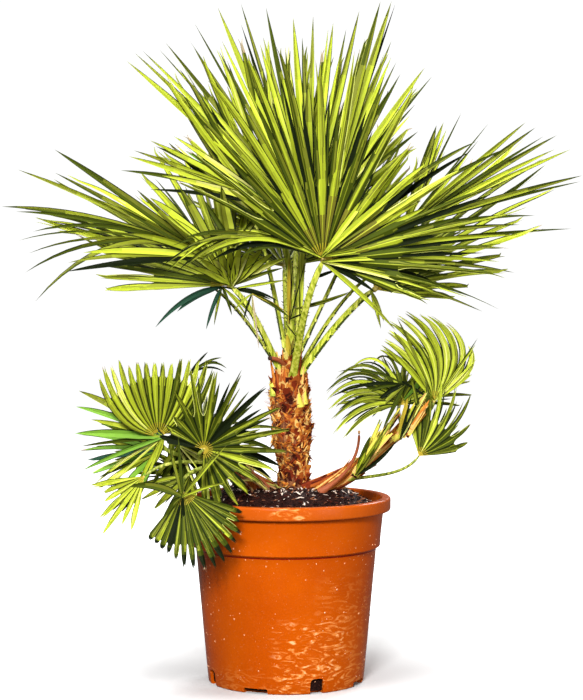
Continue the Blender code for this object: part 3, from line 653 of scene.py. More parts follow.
def trunkRadius(height):
    girth = ((soil["top"], trunk["footRadius"]), (trunk["waist"], trunk["waistRadius"]),
             (trunk["full"], trunk["bodyRadius"]), (trunk["shoulderHeight"], trunk["bodyRadius"]),
             (trunk["neck"], trunk["neckRadius"]), (trunk["tip"], trunk["tipRadius"]))
    for (low, start), (high, end) in zip(girth, girth[1:]):
        if height <= high:
            return blend(start, end, max(0.0, (height - low) / (high - low)))
    return trunk["tipRadius"]


def makeTrunk(material):
    # The core under the leaf bases: deep ragged furrows that run with the fibres.
    points = []
    sides = trunk["sides"]
    low = soil["top"] - 0.004
    for ring in range(trunk["rings"]):
        height = blend(low, trunk["tip"], ring / (trunk["rings"] - 1))
        centre = trunkCentre(height)
        for side in range(sides):
            turn = 360.0 * side / sides
            out = compass(turn)
            place = out * 0.03 + up * height
            furrow = noise.fractal(Vector((place.x * 150.0, place.y * 150.0, height * 60.0)), 0.7, 2.1, 4)
            crumb = noise.noise(Vector((place.x * 420.0, place.y * 420.0, height * 240.0)))
            radius = trunkRadius(height) - trunk["inset"] + trunk["relief"] * (0.75 * furrow + 0.25 * crumb)
            points.append(centre + out * max(radius, 0.004))
    faces = loftFaces(trunk["rings"], sides) + capFaces(points, sides)
    return stand(pieceFrom("trunk_core", points, faces, [material], creaseAngle=70.0), "trunk", "trunk")


barkTints = {"dark": (0.045, 0.006, 0.002), "red": (0.18, 0.022, 0.005), "rust": (0.38, 0.088, 0.013),
             "orange": (0.58, 0.205, 0.028), "straw": (0.80, 0.48, 0.14), "yellow": (0.84, 0.72, 0.10),
             "green": (0.44, 0.50, 0.06)}
dark, red, rust, orange, straw, yellow, green = range(7)

# The tints of a scrap: its body, its torn rim and its back, which is mostly dark: painted shade under the
# scraps.
barkCoats = ((rust, orange, dark), (orange, straw, red), (red, rust, dark), (rust, straw, dark),
             (red, orange, dark), (dark, red, dark))
collarCoats = ((red, rust, dark), (rust, orange, dark), (rust, straw, red))
barkDeal = {"bases": (26, 13, 18, 8, 13, 22), "shreds": (24, 18, 14, 14, 14, 16), "collar": (40, 34, 26),
            "fibres": (14, 26, 24, 20, 16)}

# Two bright leaf bases on the upper right, a green one on the left and a stub on the right: height, turn
# and depth on the trunk, way, width, length, lean, tints, columns, rows, and how pointed each one is.
leftwards, stubWay = up + compass(170.0) * 0.22, up * 0.3 - compass(78.0) * 0.2
markedBases = (
    (0.420, -58.0, -0.0016, leftwards, 0.013, 0.027, 0.12, (yellow, straw, dark), 7, 7, 0.55),
    (0.424, -38.0, -0.0016, leftwards, 0.013, 0.027, 0.20, (yellow, straw, dark), 7, 7, 0.55),
    (0.436, 212.0, -0.0006, up, 0.012, 0.024, 0.12, (green, yellow, rust), 5, 6, 0.5),
    (0.386, -12.0, 0.0030, stubWay, 0.009, 0.011, 1.1, (rust, dark, dark), 5, 5, 0.8))


def barkMaterials():
    return [grainyMaterial(f"bark_{name}", tint, 0.76, 700.0, Specular_IOR_Level=0.12)
            for name, tint in barkTints.items()]


def scrap(mesh, place, out, heading, wide, long, lean, tints, chance, columns=5, rows=5, point=0.0):
    # One torn piece of an old leaf base: curved, thick at its foot, its free end ragged.
    across = heading.cross(out).normalized()
    body, rimTint, back = tints
    tears = [chance.uniform(0.66, 1.10) for column in range(columns)]
    curve = chance.uniform(0.10, 0.34)
    grid = []
    for row in range(rows):
        share = row / (rows - 1)
        line = []
        for column in range(columns):
            side = 2.0 * column / (columns - 1) - 1.0
            reach = share * long * (tears[column] if row == rows - 1 else 1.0 - 0.10 * abs(side))
            width = wide * 0.5 * (1.0 - (0.25 + point) * share ** 1.6) * side
            rise = lean * reach * (0.30 + 0.70 * share) - side ** 2 * wide * curve
            thick = long * 0.05 * (1.0 - 0.7 * side ** 2) * (1.0 - 0.7 * share) + 0.00022
            line.append((place + heading * reach + across * width + out * rise, out, thick))
        grid.append(line)

    def kindAt(row, column, top):
        if not top:
            return back
        return rimTint if row == rows - 2 or column in (0, columns - 2) and row > 0 else body

    slab(mesh, grid, kindAt)


def onTrunk(height, turn, sunk):
    out = compass(turn)
    return trunkCentre(height) + out * (trunkRadius(height) - sunk), out


def makeBark(materials):
    # Leaf bases in a spiral, torn shreds over them, the stubs round the neck, and fibre.
    chance = random.Random(trunk["seed"])
    mesh = ([], [], [])
    low, high = soil["top"] + 0.001, trunk["neck"] + 0.006
    for number in range(trunk["bases"]):
        height = blend(low, high, number / (trunk["bases"] - 1))
        place, out = onTrunk(height, number * trunk["turn"] + chance.uniform(-14.0, 14.0), 0.0048)
        heading = squared(up + compass(chance.uniform(0.0, 360.0)) * chance.uniform(0.1, 0.7), out)
        size = chance.uniform(0.70, 1.30)
        lean = chance.uniform(0.12, 0.40)
        coat = chance.choices(barkCoats, barkDeal["bases"])[0]
        wide, long = trunk["baseWide"] * size, trunk["baseLong"] * size
        scrap(mesh, place, out, heading, wide, long, lean, coat, chance)
    for number in range(trunk["shreds"]):
        height = blend(low, high, chance.random())
        place, out = onTrunk(height, chance.uniform(0.0, 360.0), 0.0022)
        rise = up * chance.choice((1.0, 1.0, 1.0, -0.7))
        heading = squared(rise + compass(chance.uniform(0.0, 360.0)) * chance.uniform(0.4, 2.6), out)
        coat = chance.choices(barkCoats, barkDeal["shreds"])[0]
        scrap(mesh, place, out, heading, chance.uniform(0.0028, 0.0068), chance.uniform(0.007, 0.016),
              chance.uniform(0.02, 0.26), coat, chance, 3, 4, 0.55)
    for number in range(trunk["collar"]):
        height = chance.uniform(0.418, 0.474)
        place, out = onTrunk(height, number * trunk["turn"], 0.0045)
        heading = (up + out * chance.uniform(-0.22, 0.10)).normalized()
        coat = chance.choices(collarCoats, barkDeal["collar"])[0]
        scrap(mesh, place, squared(out, heading), heading, chance.uniform(0.006, 0.013),
              chance.uniform(0.022, 0.044), chance.uniform(-0.02, 0.12), coat, chance, 5, 7, 0.70)
    for height, turn, sunk, way, wide, long, lean, coat, columns, rows, point in markedBases:
        place, out = onTrunk(height, turn, sunk)
        scrap(mesh, place, out, way.normalized(), wide, long, lean, coat, chance, columns, rows, point)
    for number in range(trunk["fibres"]):
        height = blend(low, trunk["tip"], chance.random() ** 0.75)
        place, out = onTrunk(height, chance.uniform(0.0, 360.0), 0.0020)
        heading = up * chance.uniform(-0.6, 1.0) + compass(chance.uniform(0.0, 360.0)) + out * 0.35
        heading.normalize()
        long = chance.uniform(0.005, 0.015)
        sag = out * long * chance.uniform(-0.30, 0.05)
        line = [place + heading * long * share + sag * share ** 2 for share in (0.0, 0.35, 0.7, 1.0)]
        radius = chance.uniform(0.00022, 0.00042)
        hair(mesh, line, radius, chance.choices((dark, red, rust, orange, straw), barkDeal["fibres"])[0])
    points, faces, kinds = mesh
    return stand(pieceFrom("bark_scraps", points, faces, materials, kinds, 40.0), "trunk")


def stemCurve(sizes, sunk=0.0):
    # A sucker's stem as a curve: its start at the soil or in it, its control point and its tip.
    start = Vector((*sizes["foot"], soil["top"] - sunk))
    tip = Vector(sizes["tip"])
    return start, through(start, Vector(sizes["middle"]), tip), tip


def stemFrame(sizes, share):
    # A point of the stem, its heading, and its ring's two directions, which lie level at the foot.
    point, heading = along(*stemCurve(sizes, 0.003), share)
    plane = up.lerp(heading, min(1.0, share * 2.5)).normalized()
    side = plane.cross(Vector((0.0, 1.0, 0.0))).normalized()
    return point, heading, side, plane.cross(side)


# The sheaths' tints low on a stem, and those higher up.
sheathing = {"columns": 5, "rows": 9, "thick": 0.0005, "yellowFrom": 0.20,
             "low": ((red, rust, dark), (rust, orange, dark)),
             "high": ((orange, rust, red), (straw, orange, rust), (yellow, straw, orange),
                      (straw, rust, dark), (green, straw, rust))}


def makeSheaths(sizes, name, materials):
    # Long sheath strips that wrap a sucker's stem, loose at their upper ends.
    chance = random.Random(sizes["seed"])
    mesh = ([], [], [])
    columns, rows = sheathing["columns"], sheathing["rows"]
    for number in range(sizes["sheaths"]):
        begin = chance.random() ** 1.1 * 0.78
        reach = chance.uniform(0.22, 0.44)
        turn = chance.uniform(0.0, 2.0 * math.pi)
        wide = chance.uniform(0.008, 0.015)
        flare = chance.uniform(0.0005, 0.0055) * (1.0 + begin)
        yellowness = begin + chance.uniform(-0.25, 0.25)
        coats = sheathing["low" if yellowness < sheathing["yellowFrom"] else "high"]
        body, edgeTint, back = chance.choice(coats)
        grid = []
        for row in range(rows):
            past = row / (rows - 1)
            share = begin + reach * row / (rows - 1)
            point, heading, side, front = stemFrame(sizes, min(share, 1.0))
            point = point + heading * max(0.0, share - 1.0) * 0.11
            radius = stemRadius(sizes, min(share, 0.86)) * 0.95 + 0.0006 + flare * past ** 2
            line = []
            for column in range(columns):
                across = (2.0 * column / (columns - 1) - 1.0) * (1.0 - 0.75 * past ** 2.2)
                out = spoke(side, front, turn - across * wide / 2.0 / radius)
                line.append((point + out * radius, out, sheathing["thick"]))
            grid.append(line)

        def kindAt(row, column, top):
            if not top:
                return back
            return edgeTint if column in (0, columns - 2) else body

        slab(mesh, grid, kindAt)
    for start, end, count, wide, coats in sizes["bundles"]:
        # Broad sheaths in a bunch: at the foot they lie on the soil, at the tip they hold the stalks.
        start, end = Vector(start), Vector(end)
        span = (end - start).length
        for number in range(count):
            heading = (end - start).normalized()
            out = squared(compass(chance.uniform(0.0, 360.0)) + up * 0.6, heading)
            place = start.lerp(end, chance.uniform(0.0, 0.45)) + out * chance.uniform(0.0, wide * 0.55)
            heading = (heading + out * chance.uniform(-0.05, 0.16)).normalized()
            scrap(mesh, place, squared(out, heading), heading, wide * chance.uniform(0.6, 1.2),
                  span * chance.uniform(0.5, 0.8), chance.uniform(-0.04, 0.10), chance.choice(coats),
                  chance, 5, 7, 0.5)
    for number in range(sizes["fibres"]):
        share = chance.random() ** 0.8
        point, heading, side, front = stemFrame(sizes, share)
        out = spoke(side, front, chance.uniform(0.0, 2.0 * math.pi))
        start = point + out * stemRadius(sizes, share) * 0.95
        way = heading * chance.uniform(0.3, 1.0) + out * chance.uniform(0.1, 0.5)
        way = (way + compass(chance.uniform(0, 360)) * 0.3).normalized()
        long = chance.uniform(0.006, 0.018)
        line = [start + way * long * part - up * long * 0.2 * part ** 2 for part in (0.0, 0.4, 0.75, 1.0)]
        hair(mesh, line, 0.0003, chance.choice((red, rust, orange, straw)))
    points, faces, kinds = mesh
    return stand(pieceFrom(name, points, faces, materials, kinds, 50.0), "trunk")


def makeStem(name, sizes, material):
    # A sucker's stem under its sheaths, with a flat cut at the soil.
    rings, sides = 40, 32
    points = []
    for ring in range(rings):
        share = ring / (rings - 1)
        point, heading, side, front = stemFrame(sizes, share)
        radius = stemRadius(sizes, share)
        for turn in turns(sides):
            out = spoke(side, front, turn)
            furrow = noise.fractal(Vector((out.x * 5.0, out.y * 5.0, share * 9.0)), 0.7, 2.1, 3)
            points.append(point + out * (radius * 0.92 + 0.0010 * furrow))
    faces = loftFaces(rings, sides) + capFaces(points, sides)
    return stand(pieceFrom(name, points, faces, [material], creaseAngle=60.0), "trunk", sizes["node"])


def stemRadius(sizes, share):
    # Its girth: slimmer along the stem, and drawn in past its neck.
    neck = 0.72
    if share > neck:
        return sizes["tipRadius"] * (1.0 - 0.7 * (share - neck) / (1.0 - neck))
    return blend(sizes["footRadius"], sizes["tipRadius"], (share / neck) ** 0.7)


def barkMaterial():
    material, tree, shader, places = newMaterial("trunkFibre", (0.22, 0.08, 0.025), 0.9)
    strands = noiseAt(tree, stretched(tree, places, (260.0, 260.0, 46.0)), 1.0, 5.0, 0.65, 0.8)
    blotch = noiseAt(tree, places, 60.0, 3.0)
    tone = ramped(tree, strands, (0.32, (0.022, 0.005, 0.002)), (0.50, (0.16, 0.048, 0.012)),
                  (0.62, (0.42, 0.17, 0.045)), (0.76, (0.72, 0.40, 0.14)))
    redder = ranged(tree, blotch, 0.35, 0.65) * 0.45
    feed(tree, shader, "Base Color", colourMix(tree, redder, tone, (0.28, 0.07, 0.016)))
    feed(tree, shader, "Roughness", ranged(tree, strands, 0.3, 0.7, 0.95, 0.72))
    feed(tree, shader, "Normal", bumped(tree, strands, 0.9, 0.0022))
    return material


# Fans and their stalks, by the rule of the solids: where a stalk starts, its hub, the way the
# blade points and faces, reach, spread, leaflets, the pull that bends them, and how far they join.
# Leaflets past the angles of broad are narrow and dark, and past those of kept they are left out.
# behind tells where darker ones stand in each gap, in steps of a leaflet; their darkness is painted shade.
# umber marks the creases near the hub, shaded darkens the ends, and edge names another outline than the
# stem's.
plain = dict(rise=0.9, cup=0, wrap=0, pull=(0.0, 0.0, -0.30), split=0.24, wide=0.0185, sides=(0.3, 0.3),
             dips=(), broad=(-999, 999), kept=(-999, 999), behind=(-0.22, 0.22), umber=False,
             shaded=False, tint="bright")
sucker = dict(plain, rise=0.35, pull=(0.0, 0.0, -0.15), split=0.36, wide=0.0125, sides=(0.22, 0.22),
              tint="green")
fans = [
    dict(plain, name="front", stem="trunk", height=0.438, hub=(0.054, -0.135, 0.641), stalk=0.0054,
         aim=(345, 63), face=(90, 12), reach=0.374, spread=246, count=27, cup=-6, wrap=-15, split=0.30,
         pull=(0.0, 0.06, -0.18), sides=(0.80, 0.06), dips=((-18, 17, 0.42), (87, 14, 0.26)), seed=3,
         tint="shade", broad=(-34, 56), kept=(-95, 86), umber=True),
    dict(plain, name="left", stem="trunk", height=0.446, hub=(-0.085, -0.030, 0.604), stalk=0.0052,
         aim=(150, 34), face=(284, 42), reach=0.384, spread=116, count=15, cup=2, split=0.30,
         pull=(0.0, 0.0, -0.22), sides=(0.20, 0.30), behind=(0.0,), seed=5),
    dict(plain, name="right", stem="trunk", height=0.444, hub=(0.133, -0.030, 0.598), stalk=0.0070,
         aim=(5, 37), face=(229, 46), reach=0.384, spread=136, count=16, cup=2, split=0.30,
         pull=(0.0, 0.0, -0.12), sides=(0.30, 0.40), behind=(), seed=7),
    dict(plain, name="centre_left", stem="trunk", height=0.480, hub=(-0.006, -0.050, 0.674), stalk=0.0058,
         aim=(196, 68), face=(108, 8), reach=0.372, spread=78, count=12, cup=-2, wrap=-16,
         pull=(0.0, 0.0, -0.02), split=0.34, wide=0.0160, sides=(0.14, 0.08), seed=11),
    dict(plain, name="centre_right", stem="trunk", height=0.482, hub=(0.032, -0.010, 0.688), stalk=0.0058,
         aim=(350, 77), face=(62, 10), reach=0.358, spread=84, count=12, cup=4, wrap=14,
         pull=(0.0, 0.0, -0.02), split=0.34, sides=(0.26, 0.12), seed=13),
    dict(plain, name="high_back", stem="trunk", height=0.484, hub=(0.016, 0.112, 0.660), stalk=0.0052,
         aim=(88, 60), face=(268, 30), reach=0.325, spread=122, count=14, cup=-3, wrap=-12, split=0.20,
         pull=(0.0, 0.0, -0.12), seed=17),
    dict(plain, name="side_right", stem="trunk", height=0.468, hub=(0.092, 0.046, 0.650), stalk=0.0048,
         aim=(24, 63), face=(204, 27), reach=0.300, spread=140, count=14,
         pull=(0.0, 0.0, -0.12), behind=(0.0,), edge="rear", seed=83),
    dict(plain, name="side_left", stem="trunk", height=0.468, hub=(-0.052, 0.074, 0.704), stalk=0.0048,
         aim=(150, 62), face=(330, 28), reach=0.272, spread=140, count=14,
         pull=(0.0, 0.0, -0.12), seed=89),
    dict(plain, name="back_left", stem="trunk", height=0.450, hub=(-0.134, 0.100, 0.612), stalk=0.0044,
         aim=(157, 27), face=(337, 63), reach=0.315, spread=150, count=15, cup=2,
         pull=(0.0, 0.0, -0.42), seed=19, tint="green"),
    dict(plain, name="back_right", stem="trunk", height=0.450, hub=(0.136, 0.104, 0.620), stalk=0.0044,
         aim=(27, 30), face=(207, 60), reach=0.312, spread=148, count=15, cup=2,
         pull=(0.0, 0.0, -0.24), behind=(0.0,), edge="rear", seed=23),
    dict(plain, name="back", stem="trunk", height=0.448, hub=(-0.002, 0.172, 0.632), stalk=0.0050,
         aim=(91, 27), face=(271, 63), reach=0.290, spread=150, count=15, cup=2,
         pull=(0.0, 0.0, -0.28), seed=29),
    dict(sucker, name="cup", stem="left_stem", height=0.332, hub=(-0.190, -0.076, 0.380), stalk=0.0034,
         aim=(160, 84), face=(96, 6), reach=0.150, spread=158, count=15, cup=-20,
         pull=(0.0, 0.18, 3.0), split=0.60, wide=0.0116, sides=(0.0, 0.0), dips=((0, 46, 0.22),), seed=41,
         tint="bright"),
    dict(sucker, name="star", stem="left_stem", height=0.330, hub=(-0.120, -0.134, 0.366), stalk=0.0034,
         aim=(350, 34), face=(272, -10), reach=0.152, spread=264, count=17, cup=8,
         pull=(0.0, 0.0, -0.18), sides=(0.34, 0.20), dips=((-102, 26, 0.44),), seed=43, tint="dark"),
    dict(sucker, name="outer_left", stem="left_stem", height=0.328, hub=(-0.188, -0.036, 0.356), stalk=0.0032,
         aim=(180, -2), face=(290, 50), reach=0.146, spread=150, count=10, wide=0.0165, seed=47,
         tint="grass"),
    dict(sucker, name="low_left", stem="left_stem", height=0.322, hub=(-0.210, -0.094, 0.322), stalk=0.0030,
         aim=(190, -42), face=(276, 40), reach=0.120, spread=84, count=7, seed=53, tint="bright"),
    dict(sucker, name="inner_left", stem="left_stem", height=0.312, hub=(-0.144, -0.046, 0.320), stalk=0.0028,
         aim=(205, -22), face=(280, 40), reach=0.092, spread=150, count=9, seed=57),
    dict(sucker, name="over_rim", stem="left_stem", height=0.316, hub=(-0.150, -0.146, 0.304), stalk=0.0032,
         rise=0.60, aim=(318, -66), face=(262, 14), reach=0.128, spread=114, count=15, cup=4,
         pull=(0.0, 0.0, -0.10), split=0.60, wide=0.0120, sides=(0.34, 0.40), shaded=True,
         seed=59, tint="dark"),
    dict(sucker, name="left_rear", stem="left_stem", height=0.326, hub=(-0.130, 0.052, 0.372), stalk=0.0032,
         aim=(140, 30), face=(320, 58), reach=0.140, spread=210, count=12, cup=6,
         pull=(0.0, 0.0, -0.26), seed=61),
    dict(sucker, name="tall_right", stem="right_stem", height=0.402, hub=(0.222, -0.050, 0.430), stalk=0.0036,
         aim=(20, 76), face=(94, 10), reach=0.168, spread=96, count=10, cup=-4,
         pull=(-2.1, -0.12, 0.0), split=0.40, wide=0.0150, sides=(0.24, 0.10), seed=67,
         tint="bright"),
    dict(sucker, name="arch_right", stem="right_stem", height=0.400, hub=(0.176, -0.086, 0.428), stalk=0.0032,
         aim=(190, 42), face=(290, 30), reach=0.160, spread=104, count=9,
         pull=(-0.25, 0.0, -2.2), split=0.28, wide=0.0095, seed=71, tint="dim"),
    dict(sucker, name="low_right", stem="right_stem", height=0.312, hub=(0.197, -0.092, 0.352), stalk=0.0024,
         aim=(10, 54), face=(276, 10), reach=0.132, spread=104, count=8,
         pull=(-0.55, 0.0, 0.55), split=0.42, wide=0.0095, seed=73, tint="dim"),
    dict(sucker, name="rear_right", stem="right_stem", height=0.396, hub=(0.176, 0.040, 0.420), stalk=0.0032,
         aim=(70, 34), face=(250, 56), reach=0.136, spread=200, count=12, cup=6,
         pull=(0.0, 0.0, -0.30), seed=79),
]

# How a leaflet grows: the same habits as in the solids, then the finer shape of its blade.
leaf = {"thickShare": 0.0112, "pullPower": 1.6, "sidePower": 2.5, "shortest": 1.25,
        "lift": 0.20, "turn": 0.05, "clear": 0.0006, "give": (0.12, 0.24, 0.38),
        "shorter": (1.0, 0.86, 0.70, 0.52), "corePast": 0.20, "testStart": 0.10,
        "columns": (0.0, 0.11, 0.34, 0.59, 0.82, 1.0), "fold": 31.0, "freeFold": 41.0,
        "joinedRows": 8, "freeRows": 13, "forkRows": 5, "widest": 0.30, "slim": 0.94,
        "fork": (0.70, 0.93), "forkSpread": 0.0046, "twist": 30.0, "curl": 0.16, "inside": 0.009,
        "width": (0.86, 1.08), "narrow": 0.5, "tip": 0.90, "dryShare": 0.22, "dryFrom": 0.90,
        "streaks": (0.14, -0.16, -0.48), "weld": 0.00001}

# Leaf tints from light to dark, then the rarer ones. The steps serve as the leaves' own tones and as lit and
# shaded copies of them: deep and night are mostly painted shade, blueGreen is the colour of leaves in shade,
# and the palest, straw and lime, are partly painted highlight.
tintNames = ("straw", "lime", "bright", "fresh", "mid", "olive", "deep", "night", "blueGreen", "grass",
             "dry", "heart", "margin", "umber")
tintAt = {name: number for number, name in enumerate(tintNames)}
deepest = tintAt["deep"]
# How often each of the first ten comes up in a fan's leaflets.
tintDeal = {"bright": (4, 15, 26, 25, 15, 8, 7, 0, 0, 0), "green": (1, 7, 18, 26, 23, 14, 10, 0, 0, 1),
            "grass": (1, 5, 10, 9, 6, 0, 6, 0, 10, 53), "dark": (0, 0, 0, 4, 16, 36, 40, 4, 0, 0),
            "shade": (0, 1, 7, 18, 28, 28, 18, 0, 0, 0), "dim": (0, 0, 3, 14, 28, 33, 22, 0, 0, 0),
            "behind": (0, 2, 4, 8, 14, 20, 28, 24, 0, 0)}


def bladeFrame(fan):
    axis = compass(*fan["aim"])
    face = compass(*fan["face"])
    normal = squared(face, axis)
    return Vector(fan["hub"]), axis, normal, axis.cross(normal)


def ribLine(fan, angle, stops, turn=0.0, lift=0.0):
    # Follows a rib out from the hub: point, across and normal at each of the distances asked for.
    hub, axis, normal, side = bladeFrame(fan)
    flat = spoke(axis, side, angle)
    beside = side * math.cos(angle) - axis * math.sin(angle)
    cup = math.radians(fan["cup"] + fan["wrap"] * math.sin(angle) ** 2)
    start = spoke(flat, normal, cup)
    pull = Vector(fan["pull"])
    point = hub.copy()
    across = beside
    heading = start
    walked = 0.0
    found = []
    for stop in stops:
        span = stop - walked
        steps = max(1, math.ceil(span / (fan["reach"] * 0.13)))
        for step in range(steps):
            share = (walked + span * (step + 0.5) / steps) / fan["reach"]
            free = max(0.0, share - fan["split"])
            bend = normal * (lift * free) + beside * (turn * free)
            heading = (start + bend + pull * share ** leaf["pullPower"]).normalized()
            across = squared(across, heading)
            point = point + heading * (span / steps)
        walked = stop
        found.append((point.copy(), across.copy(), across.cross(heading), heading.copy()))
    return found


def leafletHabits(fan):
    # The angles between the leaflets, and the length, turn and lift of each.
    chance = random.Random(fan["seed"])
    half = math.radians(fan["spread"]) / 2.0
    edges = [-half + 2.0 * half * index / fan["count"] for index in range(fan["count"] + 1)]
    habits = []
    for left, right in zip(edges, edges[1:]):
        middle = (left + right) / 2.0
        shorter = fan["sides"][0 if middle < 0.0 else 1] * (abs(middle) / half) ** leaf["sidePower"]
        for place, width, depth in fan["dips"]:
            shorter += depth * math.exp(-((math.degrees(middle) - place) / width) ** 2)
        length = max((1.0 - shorter) * chance.uniform(0.92, 1.0), leaf["shortest"] * fan["split"])
        turn = chance.uniform(-leaf["turn"], leaf["turn"])
        lift = chance.uniform(-leaf["lift"], leaf["lift"])
        habits.append((fan["reach"] * length, turn, lift))
    return edges, habits


def treeOf(points, faces):
    return BVHTree.FromPolygons([tuple(point) for point in points], faces)


def nodeTree(name):
    # A solid of the frame as a tree for finding clashes.
    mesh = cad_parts[name].data
    return treeOf([vertex.co for vertex in mesh.vertices], [tuple(face.vertices) for face in mesh.polygons])


def testBody(fan, left, right, length, turn, lift):
    # A leaflet's free part as a plain thick blade, from just past the split to its tip.
    split = fan["split"] * fan["reach"]
    thick = fan["reach"] * leaf["thickShare"] / 2.0 + leaf["clear"]
    stops = [split + (length - split) * share for share in (leaf["testStart"], 0.40, 0.74, 1.0)]
    points = []
    spine = ribLine(fan, (left + right) / 2.0, stops, turn, lift)
    for stop, taper, (point, across, normal, heading) in zip(stops, (0.92, 1.0, 0.62, 0.05), spine):
        width = min(fan["wide"], stop * (right - left) * 0.80) / 2.0 * taper
        points += [point - across * width, point + normal * thick]
        points += [point + across * width, point - normal * thick]
    faces = loftFaces(len(stops), 4)
    return points, faces + [(0, 1, 2, 3), tuple(range(len(points) - 4, len(points)))]


def coreBody(fan):
    # The joined part of a fan as a thick sheet.
    edges, habits = leafletHabits(fan)
    thick = fan["reach"] * leaf["thickShare"] / 2.0 + leaf["clear"]
    reach = fan["split"] * fan["reach"] * (1.0 + leaf["corePast"] * (1.0 / fan["split"] - 1.0))
    hub, axis, normal, side = bladeFrame(fan)
    points = [hub + normal * thick, hub - normal * thick]
    for edge in edges:
        point, across, out, heading = ribLine(fan, edge, [reach])[0]
        points += [point + out * thick, point - out * thick]
    faces = []
    for index in range(len(edges) - 1):
        a = 2 + 2 * index
        faces += [(0, a, a + 2), (1, a + 3, a + 1), (a, a + 1, a + 3, a + 2)]
    return points, faces


def growFan(fan, standing, grown):
    # Each leaflet gives way to what is already there, is shortened, or is left out.
    edges, habits = leafletHabits(fan)
    split = fan["split"] * fan["reach"]
    gives = [(0.0, 0.0)]
    for amount in leaf["give"]:
        gives += [(0.0, amount), (0.0, -amount), (amount, 0.0), (-amount, 0.0)]
        gives += [(amount, amount), (-amount, amount), (amount, -amount), (-amount, -amount)]
    kept = []
    for index, (fullLength, ownTurn, ownLift) in enumerate(habits):
        left, right = edges[index], edges[index + 1]
        found = None
        for share, (moreTurn, moreLift) in itertools.product(leaf["shorter"], gives):
            length = split + (fullLength - split) * share
            habit = (length, ownTurn + moreTurn, ownLift + moreLift)
            tree = treeOf(*testBody(fan, left, right, *habit))
            if not any(tree.overlap(other) for other in standing + grown):
                grown.append(tree)
                found = habit
                break
        kept.append(found)
    return edges, kept


def within(limits, angle):
    return limits[0] < math.degrees(angle) < limits[1]


def halfWidth(fan, share, startWidth):
    # Half the flat width along the free part: it swells a little, then tapers to a long point.
    full = fan["wide"] * leaf["slim"] / 2.0
    if share < leaf["widest"]:
        return blend(min(startWidth, full * 1.02), full, eased(share / leaf["widest"]))
    past = (share - leaf["widest"]) / (1.0 - leaf["widest"])
    return full * (1.0 - 0.94 * past ** 2.1)


def darker(tint, steps=1):
    # The tint some steps darker, down to the deepest. The rarer tints stay as they are.
    return min(tint + steps, deepest) if tint < deepest else tint


def stripTint(tint, column, way, row, share, drift, joined):
    # The tint of one facet: painted shade in the creases between joined leaflets and beside them near the
    # hub, dark edges in painted shade and pale ones partly painted highlight, a pale rib, a half in painted
    # shade, streaks.
    last = len(leaf["columns"]) - 2
    # Painted shade: the crease between joined leaflets is night.
    if column == last and joined:
        return tintAt["night"]
    # Edges: pale ones, more often on one half, are partly painted highlight; night and deep ones are painted
    # shade.
    if column == last:
        pale = drift > 0.60 if way < 0.0 else drift > 0.92
        return tintAt["margin" if pale else "night" if drift < 0.30 else "deep"]
    if tint > deepest:
        return tint
    # Painted shade beside the crease, nearest the hub.
    if column == last - 1 and row < 3 + drift * 11:
        return darker(tint, 2)
    # Painted shade: one half of each leaflet, chosen by its drift, is a step darker.
    if (way < 0.0) == (drift > 0.35):
        tint = darker(tint)
    place = Vector(((share + row * 0.07) * 1.1 + drift * 50.0, column * 2.3 + way * 9.0, drift * 20.0))
    streak = noise.noise(place)
    if column == 0:
        streak -= 0.60 if drift * 7.0 % 1.0 > 0.6 else 0.10
    shady, light, lightest = leaf["streaks"]
    if streak > shady:
        return darker(tint)
    if streak < light:
        return max(tint - 1 - (streak < lightest), 0)
    return tint


def facetTint(fan, tint, column, way, row, share, drift, joined):
    # The same, but for ends in shade, umber creases near the hub, and the yellow of the hub itself.
    if fan["shaded"] and share > 0.24 + 0.4 * drift:
        return tintAt["night" if share > 0.40 + 0.4 * drift else "deep"]
    if fan["umber"] and joined and 0 < row < 2 + drift * 3.5 and 0 < column < 4 and tint < tintAt["olive"]:
        return tintAt["umber" if (column + int(drift * 9.0)) % 2 else "olive"]
    if joined and row == 0 and column < 2:
        return tintAt["heart"]
    return stripTint(tint, column, way, row, share, drift, joined)


def joinedStrips(fan, middle, edge, span):
    # Half a leaflet as far as the fan is joined: rows of points from its rib to its edge.
    split = fan["split"] * fan["reach"]
    rise = math.tan(math.radians(leaf["fold"]))
    distances = [split * ((row + 1) / leaf["joinedRows"]) for row in range(leaf["joinedRows"])]
    lines = [ribLine(fan, blend(middle, edge, column), distances) for column in leaf["columns"]]
    strips = []
    for row, distance in enumerate(distances):
        amplitude = distance * span / 2.0 * rise / 2.0
        strip = []
        for column, line in zip(leaf["columns"], lines):
            point, across, normal, heading = line[row]
            strip.append(point + normal * amplitude * (2.0 * column - 1.0))
        strips.append((strip, 0.0, True))
    return strips


